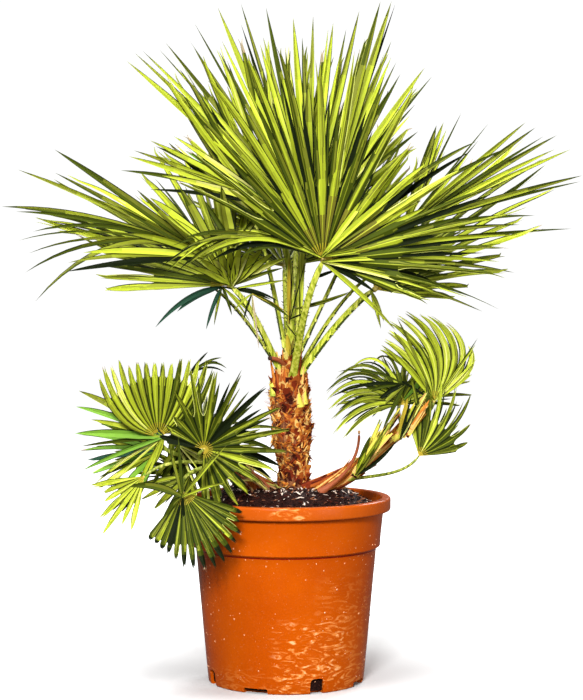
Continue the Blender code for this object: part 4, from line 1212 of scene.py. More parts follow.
def freeStrips(fan, middle, span, habit, way, fork, tipShare, twist, curl, wide):
    # The half leaflet from the split on, twisted and folded. Past the fork the halves part and taper.
    length, turn, lift = habit
    split = fan["split"] * fan["reach"]
    startWidth = split * span / 2.0
    rows, forkRows = leaf["freeRows"], leaf["forkRows"]
    shares = [fork * (row + 1) / rows for row in range(rows)]
    shares += [fork + (tipShare - fork) * (row + 1) / forkRows for row in range(forkRows)]
    stops = [split + (length - split) * share for share in [0.0] + shares]
    spine = ribLine(fan, middle, stops, turn, lift)
    strips = []
    for number, share in enumerate(shares):
        point, across, normal, heading = spine[number + 1]
        flat = spoke(across, normal, twist * share ** 1.3)
        out = flat.cross(heading)
        bend = out * (curl * max(0.0, share - 0.35) ** 2 * (length - split))
        width = blend(startWidth, halfWidth(fan, share, startWidth) * wide, eased(share * 9.0))
        fold = math.radians(blend(leaf["fold"], leaf["freeFold"], eased(share * 3.0)))
        inner = 0.0
        if number >= rows:
            past = (share - fork) / (tipShare - fork)
            inner = leaf["forkSpread"] * fan["reach"] / 0.37 * past ** 1.2
            width = halfWidth(fan, fork, startWidth) * wide * (1.0 - past) ** 0.75
        strip = []
        for column in leaf["columns"]:
            offset = inner + width * column
            raised = offset * math.sin(fold) - width * math.sin(fold) * 0.5
            strip.append(point + bend + flat * way * offset * math.cos(fold) + out * raised)
        strips.append((strip, share, False))
    return strips


def leafletMesh(fan, left, right, habit, mesh, tint, chance):
    # One pleated strip from the hub to its forked tip, as two halves that share the rib.
    points, faces, kinds, marks = mesh
    middle = (left + right) / 2.0
    span = right - left
    columns = leaf["columns"]
    count = len(columns)
    fork = chance.uniform(*leaf["fork"])
    twist = math.radians(chance.uniform(-leaf["twist"], leaf["twist"]))
    curl = chance.uniform(-1.0, 0.6) * leaf["curl"]
    wide = chance.uniform(*leaf["width"]) * (1.0 if within(fan["broad"], middle) else leaf["narrow"])
    dryTip = chance.random() < leaf["dryShare"]
    drift = chance.random()
    for way, edge in ((-1.0, left), (1.0, right)):
        first = len(points)
        tipShare = chance.uniform(max(leaf["tip"], fork + 0.03), 1.0)
        strips = joinedStrips(fan, middle, edge, span)
        strips += freeStrips(fan, middle, span, habit, way, fork, tipShare, twist, curl, wide)
        points.append(Vector(fan["hub"]))
        marks.append((0.5, drift * 9.0))
        for row, (strip, share, joined) in enumerate(strips):
            points += strip
            marks += [(0.5 + way * 0.5 * column, drift * 9.0 + row * 0.08) for column in columns]
        for column in range(count - 1):
            corners = (first, first + 1 + column, first + 2 + column)
            faces.append(corners if way > 0.0 else corners[::-1])
            kinds.append(tintAt["heart"])
        for row, (strip, share, joined) in enumerate(strips[1:]):
            for column in range(count - 1):
                a = first + 1 + row * count + column
                corners = (a, a + 1, a + count + 1, a + count)
                faces.append(corners if way < 0.0 else corners[::-1])
                kind = facetTint(fan, tint, column, way, row, share, drift, joined)
                kinds.append(tintAt["dry"] if dryTip and share > leaf["dryFrom"] else kind)


# How far each group of fans reaches in the picture.
outlines = {
    "trunk": (
        (14, 205), (26, 178), (40, 180), (56, 156), (70, 160), (120, 196), (136, 190), (126, 172),
        (134, 158), (152, 144), (174, 142), (192, 150), (190, 128), (136, 82), (142, 68), (156, 62),
        (176, 60), (196, 46), (218, 34), (243, 34), (267, 36), (293, 40), (313, 44), (334, 46), (346, 50),
        (359, 36), (376, 26), (390, 26), (388, 58), (394, 84), (414, 80), (422, 88), (412, 108),
        (414, 138), (424, 156), (434, 132), (444, 132), (450, 158), (474, 150), (490, 154), (516, 132),
        (528, 134), (548, 142), (562, 150), (562, 158), (540, 180), (568, 178), (568, 188), (532, 211),
        (556, 224), (556, 230), (515, 241), (514, 262), (518, 276), (484, 279), (462, 287), (430, 291),
        (400, 296), (346, 296), (328, 270), (288, 268), (262, 286), (232, 291), (206, 281), (180, 275),
        (104, 270), (90, 261), (88, 246), (74, 234), (34, 225), (14, 215)),
    "rear": (
        (192, 150), (190, 128), (136, 82), (142, 68), (156, 62), (176, 60), (196, 46), (218, 34),
        (267, 36), (313, 44), (346, 50), (376, 36), (388, 58), (394, 84), (408, 108), (408, 138),
        (412, 170), (412, 200), (430, 262), (420, 291), (346, 296), (300, 262), (262, 286), (192, 270)),
    "left_stem": (
        (98, 352), (192, 350), (228, 358), (248, 360), (266, 376), (276, 398), (300, 414), (302, 434),
        (290, 456), (274, 474), (252, 494), (244, 536), (236, 560), (221, 577), (200, 573), (184, 573),
        (168, 556), (152, 532), (136, 546), (126, 524), (96, 541), (98, 515), (118, 500), (88, 488),
        (84, 462), (69, 438), (74, 404), (104, 396), (94, 372)),
    "right_stem": (
        (306, 390), (316, 372), (350, 362), (384, 372), (378, 343), (388, 312), (405, 297), (430, 299),
        (450, 314), (463, 345), (481, 340), (482, 374), (487, 396), (471, 426), (456, 438), (418, 459),
        (398, 446), (360, 450), (332, 438), (324, 404)),
}


def pruned(fan, angle, habit):
    # A leaflet whose tip would pass the plant's outline in the picture, or the box's front, is shorter.
    length, turn, lift = habit
    split = fan["split"] * fan["reach"]
    front = cadBox[0][1] + leaf["inside"]
    for step in range(13):
        reach = split + (length - split) * (1.0 - 0.05 * step)
        tip = ribLine(fan, angle, [reach], turn, lift)[0][0]
        if withinOutline(tip, outlines[fan.get("edge", fan["stem"])]) and tip.y > front:
            break
    return reach, turn, lift


def leafletsBehind(fan, edges, habits, mesh, chance):
    # Darker leaflets of the same fan, half a step round and further from the viewer, that fill its gaps:
    # their darkness and their darker halves are painted shade.
    split = fan["split"] * fan["reach"]
    behind = 1.0 if bladeFrame(fan)[2].y > 0.0 else -1.0
    for index in range(1, len(habits)):
        pair = habits[index - 1:index + 1]
        if not all(pair):
            continue
        step = edges[index + 1] - edges[index]
        for way in fan["behind"]:
            length = min(pair[0][0], pair[1][0]) * chance.uniform(0.60, 0.90)
            if length < split * 1.3:
                continue
            turn = (pair[0][1] + pair[1][1]) / 2.0 + chance.uniform(-0.08, 0.08)
            lift = (pair[0][2] + pair[1][2]) / 2.0 + behind * chance.uniform(0.05, 0.24)
            stops = [blend(split * 0.80, length, row / 11.0) for row in range(12)]
            line = []
            for point, across, normal, heading in ribLine(fan, edges[index] + step * way, stops, turn, lift):
                line.append((point + normal * behind * 0.0012, heading, across))
            tint = chance.choices(range(10), tintDeal["behind"])[0]
            shades = (tint, min(tint + 1, tintAt["night"]))
            looseBlade(mesh, line, fan["wide"] * chance.uniform(0.30, 0.62), 0.9, shades, 0.0)


def makeFan(fan, standing, grown, materials):
    # A fan's leaflets as one welded mesh, in the place of its solid.
    edges, habits = growFan(fan, standing, grown)
    chance = random.Random(fan["seed"] * 7 + 1)
    mesh = ([], [], [], [])
    for index, habit in enumerate(habits):
        tint = chance.choices(range(10), tintDeal[fan["tint"]])[0]
        if habit is None:
            habit = (fan["split"] * fan["reach"] * leaf["shortest"], 0.0, 0.0)
        if not within(fan["kept"], edges[index]):
            habits[index] = None
            continue
        habit = pruned(fan, (edges[index] + edges[index + 1]) / 2.0, habit)
        habits[index] = habit
        if not within(fan["broad"], edges[index]):
            tint = darker(tint, 2)
        leafletMesh(fan, edges[index], edges[index + 1], habit, mesh, tint, chance)
    leafletsBehind(fan, edges, habits, mesh, chance)
    points, faces, kinds, marks = mesh
    piece = pieceFrom(f"fan_{fan['name']}", points, faces, materials, kinds, 180.0, marks)
    shell = bmesh.new()
    shell.from_mesh(piece.data)
    bmesh.ops.remove_doubles(shell, verts=shell.verts[:], dist=leaf["weld"])
    shell.to_mesh(piece.data)
    shell.free()
    pick(piece)
    bpy.ops.object.shade_smooth_by_angle(angle=math.radians(28.0))
    return stand(piece, "blade", f"frond_{fan['name']}")


def leafMaterials():
    # One plain colour for each tint. Gloss and relief follow the fine veins along each leaflet.
    # deep, night and blueGreen are painted shade; straw, lime and margin are partly painted highlight.
    tints = {"straw": (0.76, 0.75, 0.210), "lime": (0.58, 0.64, 0.060), "bright": (0.47, 0.54, 0.029),
             "fresh": (0.38, 0.445, 0.020), "mid": (0.272, 0.310, 0.015), "olive": (0.155, 0.170, 0.010),
             "deep": (0.050, 0.068, 0.004), "night": (0.008, 0.013, 0.003),
             "blueGreen": (0.022, 0.070, 0.040), "grass": (0.19, 0.38, 0.034), "dry": (0.42, 0.33, 0.20),
             "heart": (0.46, 0.34, 0.026), "margin": (0.74, 0.78, 0.170), "umber": (0.185, 0.150, 0.016)}
    found = []
    for name in tintNames:
        sheen = 0.06 if name in ("deep", "night", "blueGreen") else 0.20
        material, tree, shader, places = newMaterial(f"leaf_{name}", tints[name], 0.42,
                                                     Specular_IOR_Level=sheen)
        lengthwise = addNode(tree, "ShaderNodeTexCoord", output=2)
        veins = noiseAt(tree, stretched(tree, lengthwise, (34.0, 5.0, 1.0)), 1.0, 3.0, 0.6)
        feed(tree, shader, "Roughness", ranged(tree, veins, 0.30, 0.70, 0.36, 0.54))
        feed(tree, shader, "Normal", bumped(tree, veins, 0.60, 0.0012))
        found.append(material)
    return found


# Loose leaflets that the fans leave out. Each bunch has its start (pixel across, pixel down, depth), then
# for each leaflet its tip in the same way, how far it bows up, its width (both in mm) and its tint.
# Night and blueGreen leaflets stand for the shade between the leaves: painted shade.
bunches = (
    ((208, 257, -0.07), (
        (55, 150, -0.10, 3, 12, "olive"), (55, 173, -0.10, 2, 8, "mid"), (18, 170, -0.06, 6, 9, "fresh"),
        (2, 207, -0.05, 16, 10, "mid"), (16, 212, -0.07, 14, 8, "deep"), (33, 232, -0.08, 24, 7, "deep"),
        (18, 241, -0.08, 24, 4, "olive"), (28, 254, -0.09, 26, 5, "mid"),
        (25, 273, -0.10, 36, 7, "olive"), (35, 302, -0.10, 52, 8, "mid"), (83, 253, -0.12, 6, 12, "lime"),
        (68, 263, -0.12, 8, 9, "fresh"), (66, 272, -0.12, 4, 10, "night"),
        (128, 234, -0.14, 6, 14, "bright"), (137, 190, -0.10, 0, 8, "mid"),
        (117, 206, -0.10, 0, 8, "olive"), (96, 199, -0.10, 2, 8, "fresh"))),
    ((272, 206, -0.11), (
        (174, 137, -0.13, 3, 11, "straw"), (150, 141, -0.13, 2, 11, "bright"),
        (134, 151, -0.13, 3, 9, "fresh"), (129, 157, -0.13, 4, 10, "lime"),
        (121, 171, -0.13, 8, 9, "olive"), (156, 147, -0.12, 4, 9, "deep"),
        (186, 152, -0.12, 2, 9, "grass"), (162, 176, -0.14, 4, 10, "straw"),
        (150, 190, -0.13, 4, 8, "night"))),
    ((214, 250, -0.16), (
        (150, 198, -0.16, 3, 13, "bright"), (180, 188, -0.16, 3, 13, "mid"),
        (165, 215, -0.16, 2, 10, "lime"))),
    ((234, 248, -0.16), (
        (221, 186, -0.16, 0, 14, "mid"), (267, 204, -0.16, 0, 10, "olive"),
        (204, 200, -0.15, 0, 9, "deep"))),
    ((321, 258, -0.15), (
        (163, 275, -0.16, 46, 6, "mid"), (176, 273, -0.155, 42, 8, "night"),
        (170, 270, -0.17, 47, 6, "lime"), (186, 263, -0.165, 34, 7, "deep"),
        (200, 258, -0.175, 28, 7, "bright"), (160, 268, -0.15, 40, 9, "night"),
        (210, 262, -0.15, 24, 9, "night"), (182, 270, -0.17, 40, 6, "fresh"),
        (195, 266, -0.17, 33, 6, "mid"), (168, 263, -0.165, 36, 7, "bright"),
        (178, 252, -0.165, 28, 8, "mid"), (190, 246, -0.17, 22, 8, "fresh"),
        (206, 249, -0.165, 20, 7, "lime"), (172, 246, -0.16, 24, 8, "deep"),
        (184, 238, -0.165, 20, 9, "olive"), (200, 236, -0.17, 16, 9, "mid"),
        (222, 257, -0.15, 22, 8, "night"), (240, 256, -0.15, 16, 8, "deep"))),
    ((232, 286, -0.045), (
        (287, 258, -0.08, 3, 9, "straw"), (284, 268, -0.08, 2, 6, "olive"),
        (274, 253, -0.09, 2, 13, "lime"), (263, 249, -0.09, 2, 13, "bright"),
        (251, 247, -0.09, 1, 13, "straw"), (240, 246, -0.09, 1, 13, "lime"),
        (229, 246, -0.09, 1, 13, "bright"), (218, 248, -0.09, 1, 13, "lime"),
        (208, 252, -0.09, 2, 12, "straw"), (199, 258, -0.09, 2, 11, "bright"),
        (193, 267, -0.09, 3, 10, "lime"), (189, 276, -0.09, 4, 8, "deep"))),
    ((307, 226, -0.09), (
        (127, 62, -0.08, 4, 13, "bright"), (135, 54, -0.07, 5, 9, "fresh"),
        (143, 52, -0.06, 5, 6, "deep"), (150, 58, -0.08, 4, 10, "lime"), (166, 44, -0.07, 4, 10, "mid"),
        (159, 50, -0.06, 4, 5, "deep"), (174, 66, -0.08, 3, 9, "lime"), (190, 42, -0.05, 2, 4, "olive"),
        (195, 25, -0.05, 2, 5, "deep"), (194, 49, -0.07, 2, 8, "mid"), (218, 9, -0.06, 2, 12, "bright"),
        (222, 42, -0.07, 2, 8, "lime"), (219, 52, -0.08, 2, 8, "mid"), (241, 5, -0.05, 0, 9, "mid"),
        (241, 25, -0.05, 0, 6, "night"))),
    ((309, 218, -0.09), (
        (251, 60, -0.08, 0, 9, "fresh"), (260, 45, -0.08, 0, 11, "lime"), (266, 9, -0.05, 0, 9, "olive"),
        (263, 38, -0.06, 0, 8, "fresh"), (281, 70, -0.09, 0, 14, "bright"),
        (293, 19, -0.07, 0, 13, "bright"), (302, 38, -0.07, 0, 9, "mid"), (313, 17, -0.06, 0, 9, "fresh"),
        (308, 80, -0.10, 0, 15, "fresh"), (314, 52, -0.07, 0, 6, "lime"), (328, 30, -0.06, 0, 7, "lime"),
        (333, 24, -0.08, 0, 12, "bright"), (346, 30, -0.06, 0, 8, "mid"), (340, 55, -0.08, 0, 7, "lime"),
        (359, 12, -0.08, 0, 12, "fresh"))),
    ((326, 212, -0.09), (
        (380, 3, -0.08, 2, 15, "mid"), (391, 3, -0.08, 2, 14, "fresh"), (395, 5, -0.06, 2, 5, "night"),
        (391, 42, -0.07, 2, 8, "fresh"), (391, 58, -0.08, 2, 9, "lime"), (396, 63, -0.07, 2, 6, "mid"),
        (400, 75, -0.07, 3, 8, "olive"), (424, 69, -0.08, 3, 11, "bright"),
        (432, 77, -0.07, 3, 7, "deep"), (415, 105, -0.07, 4, 6, "deep"), (410, 116, -0.09, 2, 8, "straw"),
        (418, 132, -0.08, 3, 8, "olive"))),
    ((404, 228, -0.10), (
        (436, 126, -0.12, 0, 15, "mid"), (443, 123, -0.12, 0, 12, "bright"),
        (446, 130, -0.11, 0, 8, "straw"), (461, 113, -0.06, 0, 4, "olive"),
        (478, 141, -0.06, 0, 4, "olive"), (488, 124, -0.06, 0, 3, "deep"),
        (525, 123, -0.08, 2, 10, "fresh"), (535, 128, -0.08, 2, 9, "mid"),
        (543, 137, -0.08, 2, 6, "deep"), (556, 136, -0.07, 3, 9, "mid"),
        (554, 150, -0.08, 3, 9, "bright"), (570, 150, -0.07, 3, 8, "lime"),
        (582, 176, -0.03, 3, 9, "mid"), (580, 182, -0.03, 3, 6, "deep"))),
    ((322, 257, -0.15), (
        (476, 142, -0.16, 14, 10, "mid"), (508, 148, -0.16, 10, 9, "olive"),
        (470, 152, -0.14, 8, 9, "night"), (400, 160, -0.16, 6, 10, "lime"),
        (420, 176, -0.17, 6, 9, "bright"), (535, 216, -0.12, 14, 9, "olive"),
        (572, 229, -0.08, 6, 6, "deep"), (520, 225, -0.13, 10, 9, "mid"),
        (520, 235, -0.14, 6, 10, "bright"), (503, 249, -0.14, 6, 7, "mid"),
        (468, 256, -0.14, 6, 9, "night"))),
    ((322, 262, -0.155), (
        (515, 273, -0.14, 10, 8, "mid"), (500, 262, -0.15, 6, 8, "lime"),
        (452, 268, -0.14, 4, 9, "night"), (483, 312, -0.17, 8, 6, "mid"), (480, 300, -0.17, 8, 6, "deep"),
        (469, 298, -0.17, 6, 5, "straw"), (500, 310, -0.16, 14, 3, "deep"),
        (432, 291, -0.17, 3, 6, "straw"), (396, 331, -0.15, 5, 7, "fresh"),
        (376, 293, -0.14, 3, 8, "night"), (405, 291, -0.14, 4, 9, "night"))),
    ((350, 266, -0.11), (
        (432, 281, -0.12, 4, 12, "night"), (440, 275, -0.12, 4, 10, "deep"),
        (424, 288, -0.12, 4, 10, "night"))),
    ((296, 309, -0.06), ((350, 292, -0.13, -2, 7, "fresh"), (348, 294, -0.13, -2, 4, "olive"))),
    ((289, 324, -0.024), (
        (289, 257, -0.056, 0, 6, "heart"), (293, 258, -0.056, 0, 2, "night"),
        (305, 262, -0.034, 0, 2, "night"))),
    ((300, 325, -0.022), ((304, 262, -0.020, 0, 5, "lime"), (299, 262, -0.034, 0, 2, "deep"))),
    ((289, 320, -0.026), ((307, 313, -0.040, 1, 3, "night"),)),
    ((286, 324, -0.024), ((300, 341, -0.026, 0, 2, "night"),)),
    ((316, 278, -0.112), ((335, 271, -0.120, 1, 5, "night"),)),
    ((290, 356, -0.024), (
        (287, 334, -0.028, 0, 9, "heart"), (294, 338, -0.028, 0, 5, "umber"),
        (298, 342, -0.028, 0, 4, "night"))),
    ((252, 294, -0.09), (
        (290, 318, -0.08, 3, 5, "deep"), (286, 312, -0.08, 2, 4, "heart"),
        (255, 332, -0.09, 0, 4, "straw"), (259, 350, -0.09, 0, 3, "dry"),
        (243, 322, -0.09, 2, 4, "night"), (233, 312, -0.08, 2, 4, "fresh"))),
    ((238, 288, -0.07), ((287, 280, -0.07, 0, 5, "fresh"), (279, 302, -0.06, 4, 4, "night"))),
    ((371, 291, -0.08), ((381, 329, -0.09, 3, 6, "fresh"), (384, 322, -0.09, 3, 5, "mid"))),
    ((222, 287, -0.03), (
        (155, 328, -0.05, 14, 9, "blueGreen"), (177, 312, -0.04, 7, 9, "blueGreen"),
        (206, 330, -0.03, 5, 7, "blueGreen"), (214, 326, -0.03, 3, 5, "mid"),
        (232, 316, -0.03, 3, 5, "deep"), (250, 322, -0.03, 4, 4, "fresh"),
        (272, 300, -0.02, 3, 5, "night"), (262, 326, -0.02, 3, 4, "lime"))),
    ((163, 438, -0.08), (
        (107, 398, -0.04, 7, 13, "blueGreen"), (100, 425, -0.05, 4, 10, "grass"),
        (104, 412, -0.05, 4, 9, "grass"), (78, 391, -0.06, 5, 12, "fresh"),
        (75, 407, -0.06, 5, 12, "grass"), (74, 434, -0.07, 3, 13, "grass"),
        (80, 447, -0.06, 2, 6, "deep"), (82, 471, -0.08, 3, 9, "grass"),
        (113, 402, -0.07, 6, 16, "blueGreen"), (90, 420, -0.07, 3, 9, "lime"),
        (93, 486, -0.06, 5, 5, "straw"), (98, 480, -0.06, 5, 4, "margin"),
        (108, 490, -0.06, 4, 4, "straw"), (140, 497, -0.07, 2, 5, "lime"),
        (126, 510, -0.07, 4, 6, "bright"), (150, 470, -0.07, 0, 13, "lime"))),
    ((178, 446, -0.07), (
        (222, 482, -0.05, 4, 5, "margin"), (206, 486, -0.05, 2, 4, "straw"),
        (214, 470, -0.04, 4, 7, "deep"), (228, 476, -0.05, 5, 5, "straw"),
        (196, 490, -0.06, 0, 5, "margin"), (212, 492, -0.05, 2, 6, "night"),
        (190, 480, -0.06, 0, 8, "deep"), (240, 478, -0.04, 6, 4, "deep"),
        (200, 474, -0.08, 3, 4, "straw"), (184, 486, -0.05, 0, 11, "olive"),
        (204, 480, -0.04, 2, 12, "night"), (216, 476, -0.04, 3, 11, "deep"),
        (226, 470, -0.04, 4, 10, "olive"), (170, 478, -0.05, 0, 10, "night"),
        (160, 484, -0.05, 0, 10, "deep"), (150, 488, -0.06, 2, 8, "mid"),
        (198, 496, -0.05, 0, 9, "night"))),
    ((214, 452, -0.04), (
        (262, 492, -0.02, 6, 12, "night"), (272, 480, -0.02, 8, 12, "night"),
        (282, 468, -0.03, 9, 12, "night"), (250, 494, -0.03, 4, 11, "night"),
        (238, 492, -0.03, 2, 11, "night"), (268, 492, -0.06, 8, 6, "mid"),
        (258, 486, -0.08, 6, 6, "deep"), (246, 488, -0.08, 4, 6, "olive"),
        (280, 476, -0.06, 9, 6, "olive"))),
    ((182, 498, -0.16), (
        (168, 441, -0.16, 0, 5, "mid"), (178, 437, -0.16, 0, 5, "deep"), (227, 445, -0.16, 1, 5, "fresh"),
        (218, 450, -0.16, 1, 4, "mid"), (128, 488, -0.16, 8, 10, "olive"),
        (226, 484, -0.15, 3, 5, "fresh"), (159, 530, -0.15, 9, 7, "deep"), (163, 522, -0.15, 8, 6, "mid"),
        (183, 566, -0.15, -2, 7, "night"))),
    ((176, 428, -0.055), (
        (196, 462, -0.05, 0, 12, "night"), (182, 470, -0.05, 0, 12, "deep"),
        (168, 462, -0.05, 0, 10, "olive"), (206, 458, -0.05, 0, 10, "night"))),
    ((196, 450, -0.05), (
        (201, 492, -0.04, 0, 12, "night"), (212, 490, -0.04, 0, 12, "deep"),
        (230, 487, -0.03, 2, 12, "night"), (240, 480, -0.03, 3, 10, "olive"),
        (222, 488, -0.04, 0, 5, "straw"))),
    ((188, 376, -0.06), (
        (227, 369, -0.05, 14, 5, "deep"), (225, 373, -0.05, 10, 4, "night"),
        (218, 362, -0.05, 6, 4, "deep"), (222, 358, -0.05, 6, 4, "olive"),
        (208, 352, -0.05, 2, 4, "night"))),
    ((205, 440, -0.13), (
        (268, 438, -0.10, 8, 9, "night"), (276, 452, -0.10, 8, 9, "deep"),
        (262, 462, -0.11, 6, 9, "night"), (252, 474, -0.12, 4, 9, "deep"),
        (240, 484, -0.12, 2, 8, "night"), (284, 430, -0.10, 10, 7, "mid"))),
    ((434, 402, -0.05), (
        (381, 345, -0.07, 8, 8, "bright"), (393, 331, -0.07, 8, 7, "fresh"),
        (397, 318, -0.07, 6, 5, "mid"), (476, 344, -0.05, -2, 5, "lime"),
        (477, 359, -0.05, -2, 5, "straw"), (473, 374, -0.05, -1, 4, "lime"),
        (478, 338, -0.05, -2, 4, "olive"), (381, 372, -0.05, 3, 4, "night"))),
    ((356, 476, -0.078), (
        (371, 436, -0.09, 2, 8, "deep"), (384, 432, -0.10, -3, 9, "fresh"),
        (398, 440, -0.10, -6, 6, "night"), (388, 424, -0.10, -4, 6, "night"),
        (376, 446, -0.10, -4, 6, "olive"), (366, 452, -0.09, 1, 7, "bright"))),
    ((400, 440, -0.10), (
        (408, 398, -0.10, 0, 10, "heart"), (417, 404, -0.10, 0, 10, "straw"),
        (424, 400, -0.10, 0, 8, "heart"), (412, 396, -0.11, 0, 4, "night"),
        (420, 398, -0.11, 0, 4, "night"), (428, 392, -0.10, 0, 5, "margin"))),
    ((405, 385, -0.10), (
        (330, 398, -0.10, 10, 5, "night"), (338, 372, -0.10, 10, 5, "deep"),
        (352, 402, -0.10, 8, 6, "deep"), (376, 404, -0.10, 5, 8, "night"), (372, 418, -0.10, 3, 8, "mid"),
        (383, 430, -0.10, 0, 7, "deep"))),
)


def looseBlade(mesh, line, wide, length, shades, mark):
    # One folded leaflet along a line of (point, heading, across), broadest a third of the way up.
    points, faces, kinds, marks = mesh
    first = len(points)
    rows = len(line) - 1
    sides = (-1.0, -0.78, 0.0, 0.78, 1.0)
    for row, (point, heading, across) in enumerate(line[:-1]):
        share = row / rows
        out = across.cross(heading)
        width = wide / 2.0 * (0.45 + 0.55 * eased(share / 0.3)) * (1.0 - share ** 4.0)
        for place in sides:
            points.append(point + across * place * width * 0.86 - out * (abs(place) - 0.5) * width * 0.5)
            marks.append((0.5 + 0.5 * place, mark + share * length * 2.0))
    points.append(line[-1][0])
    marks.append((0.5, mark + length * 2.0))
    faces += loftFaces(rows, len(sides), first, closed=False)
    last = first + (rows - 1) * len(sides)
    faces += [(last + corner, last + corner + 1, len(points) - 1) for corner in range(len(sides) - 1)]
    # Painted shade: the near edge is night, the far edge night or the darker tint, and one half takes the
    # darker tint.
    farEdge = tintAt["night"] if mark % 1.0 < 0.5 else shades[1]
    for row in range(rows):
        steps = 2 if row > rows - 2 else 1 if row > rows - 5 else 0
        kinds += [tintAt["night"]] + [darker(shade, steps) for shade in shades] + [farEdge]


loose = {"rows": 12, "seed": 73, "middle": 0.55, "bow": 0.002, "wide": 0.00120, "uneven": (0.9, 1.1),
         "twist": 28.0}


def makeLooseLeaflets(materials):
    # All the bunches as one mesh.
    chance = random.Random(loose["seed"])
    mesh = ([], [], [], [])
    rows = loose["rows"]
    for startAt, tips in bunches:
        for across, down, depth, bow, wide, tintName in tips:
            start = seenAt(*startAt)
            end = seenAt(across, down, depth)
            control = start.lerp(end, loose["middle"]) + up * bow * loose["bow"]
            twist = math.radians(chance.uniform(-loose["twist"], loose["twist"]))
            line = []
            for row in range(rows + 1):
                point, heading = along(start, control, end, row / rows)
                side = heading.cross(Vector((0.0, 1.0, 0.0))).normalized()
                line.append((point, heading, spoke(side, side.cross(heading), twist)))
            tint = tintAt[tintName]
            width = wide * loose["wide"] * chance.uniform(*loose["uneven"])
            looseBlade(mesh, line, width, 1.0, (tint, darker(tint)), chance.random() * 9.0)
    points, faces, kinds, marks = mesh
    return stand(pieceFrom("loose_leaflets", points, faces, materials, kinds, 28.0, marks), "blade")


# Stalks

stalk = {"leaves": 0.36, "arrives": 0.30, "foot": 1.25, "head": 0.80, "sides": 12, "rings": 40,
         "sheathTo": 0.16, "sheathSwell": 0.9, "neckFrom": 0.93, "neckLong": 0.07, "neckIn": 0.45,
         "upper": 0.34, "lower": 0.80, "sheathTint": (0.10, 0.05), "edgeShade": -0.12,
         "thorns": 30, "thorn": 0.0036, "thornsFrom": 0.16, "thornsTo": 0.86}


def stemAxis(fan):
    # Where a stalk starts, on the axis of the trunk or of its sucker's stem.
    height = fan["height"]
    if fan["stem"] == "trunk":
        return trunkCentre(height)
    start, control, tip = stemCurve(stems["left" if fan["stem"] == "left_stem" else "right"])
    share = min(max((height - start.z) / (tip.z - start.z), 0.0), 1.0)
    return along(start, control, tip, share)[0]


def stalkCurve(fan):
    hub, axis, normal, side = bladeFrame(fan)
    start = stemAxis(fan)
    span = (hub - start).length
    out = ((hub - start) * Vector((1.0, 1.0, 0.0)) + up * span * fan["rise"]).normalized()
    return start, start + out * span * stalk["leaves"], hub - axis * span * stalk["arrives"], hub


def onCurve(curve, share):
    a, b, c, d = curve
    back = 1.0 - share
    point = a * back ** 3 + b * (3 * back ** 2 * share) + c * (3 * back * share ** 2) + d * share ** 3
    heading = (b - a) * back ** 2 + (c - b) * (2 * back * share) + (d - c) * share ** 2
    return point, heading.normalized()


def makeStalk(fan, materials):
    # A flat-topped stalk, wide and sheathed at its foot, thorny along both edges, ending in the hub.
    hub, axis, normal, side = bladeFrame(fan)
    curve = stalkCurve(fan)
    chance = random.Random(fan["seed"] * 13 + 5)
    crown = fan["stem"] == "trunk"
    points = []
    kinds = []
    sides, rings = stalk["sides"], stalk["rings"]
    frames = []
    for ring in range(rings):
        share = ring / (rings - 1)
        point, heading = onCurve(curve, share)
        wide = heading.cross(normal)
        wide = (wide if wide.length > 0.1 else heading.cross(side)).normalized()
        deep = wide.cross(heading)
        radius = fan["stalk"] * blend(stalk["foot"], stalk["head"], share)
        if crown:
            radius *= 1.0 + stalk["sheathSwell"] * (1.0 - eased(share / stalk["sheathTo"]))
        if share > stalk["neckFrom"]:
            radius *= 1.0 - stalk["neckIn"] * (share - stalk["neckFrom"]) / stalk["neckLong"]
        frames.append((point, heading, wide, deep, radius))
        for turn in turns(sides):
            rise = math.sin(turn)
            rise *= stalk["upper"] if rise > 0.0 else stalk["lower"]
            points.append(point + wide * math.cos(turn) * radius - deep * rise * radius)
    faces = loftFaces(rings, sides)
    for ring in range(rings - 1):
        share = ring / (rings - 1)
        for corner in range(sides):
            sheathed = share < stalk["sheathTint"][0] + stalk["sheathTint"][1] * chance.random()
            patch = Vector((share * 16.0, corner // (sides // 2) * 5.0, fan["seed"]))
            # Painted shade: dark stalkEdge patches along the sides, standing also for dark thorn specks.
            edge = corner in (0, sides - 1, sides // 2 - 1, sides // 2)
            kinds.append(1 if sheathed else 3 if edge and noise.noise(patch) > stalk["edgeShade"] else 0)
    faces += capFaces(points, sides)
    kinds += [1, 0]
    for number in range(stalk["thorns"] if crown else 0):
        place = (number + chance.random() * 0.7) / stalk["thorns"]
        share = blend(stalk["thornsFrom"], stalk["thornsTo"], place)
        point, heading, wide, deep, radius = frames[int(share * (rings - 1))]
        way = 1.0 if number % 2 else -1.0
        root = point + wide * way * radius * 0.92
        size = stalk["thorn"] * chance.uniform(0.6, 1.2)
        points += [root - heading * size * 0.4, root + deep * size * 0.22, root + heading * size * 0.4,
                   root - deep * size * 0.22, root + wide * way * size + heading * size * 0.8]
        faces += tipFaces(points, 4)
        kinds += [2] * 4
    piece = pieceFrom(f"stalk_skin_{fan['name']}", points, faces, materials, kinds, 50.0)
    return stand(piece, "stalk", f"stalk_{fan['name']}")


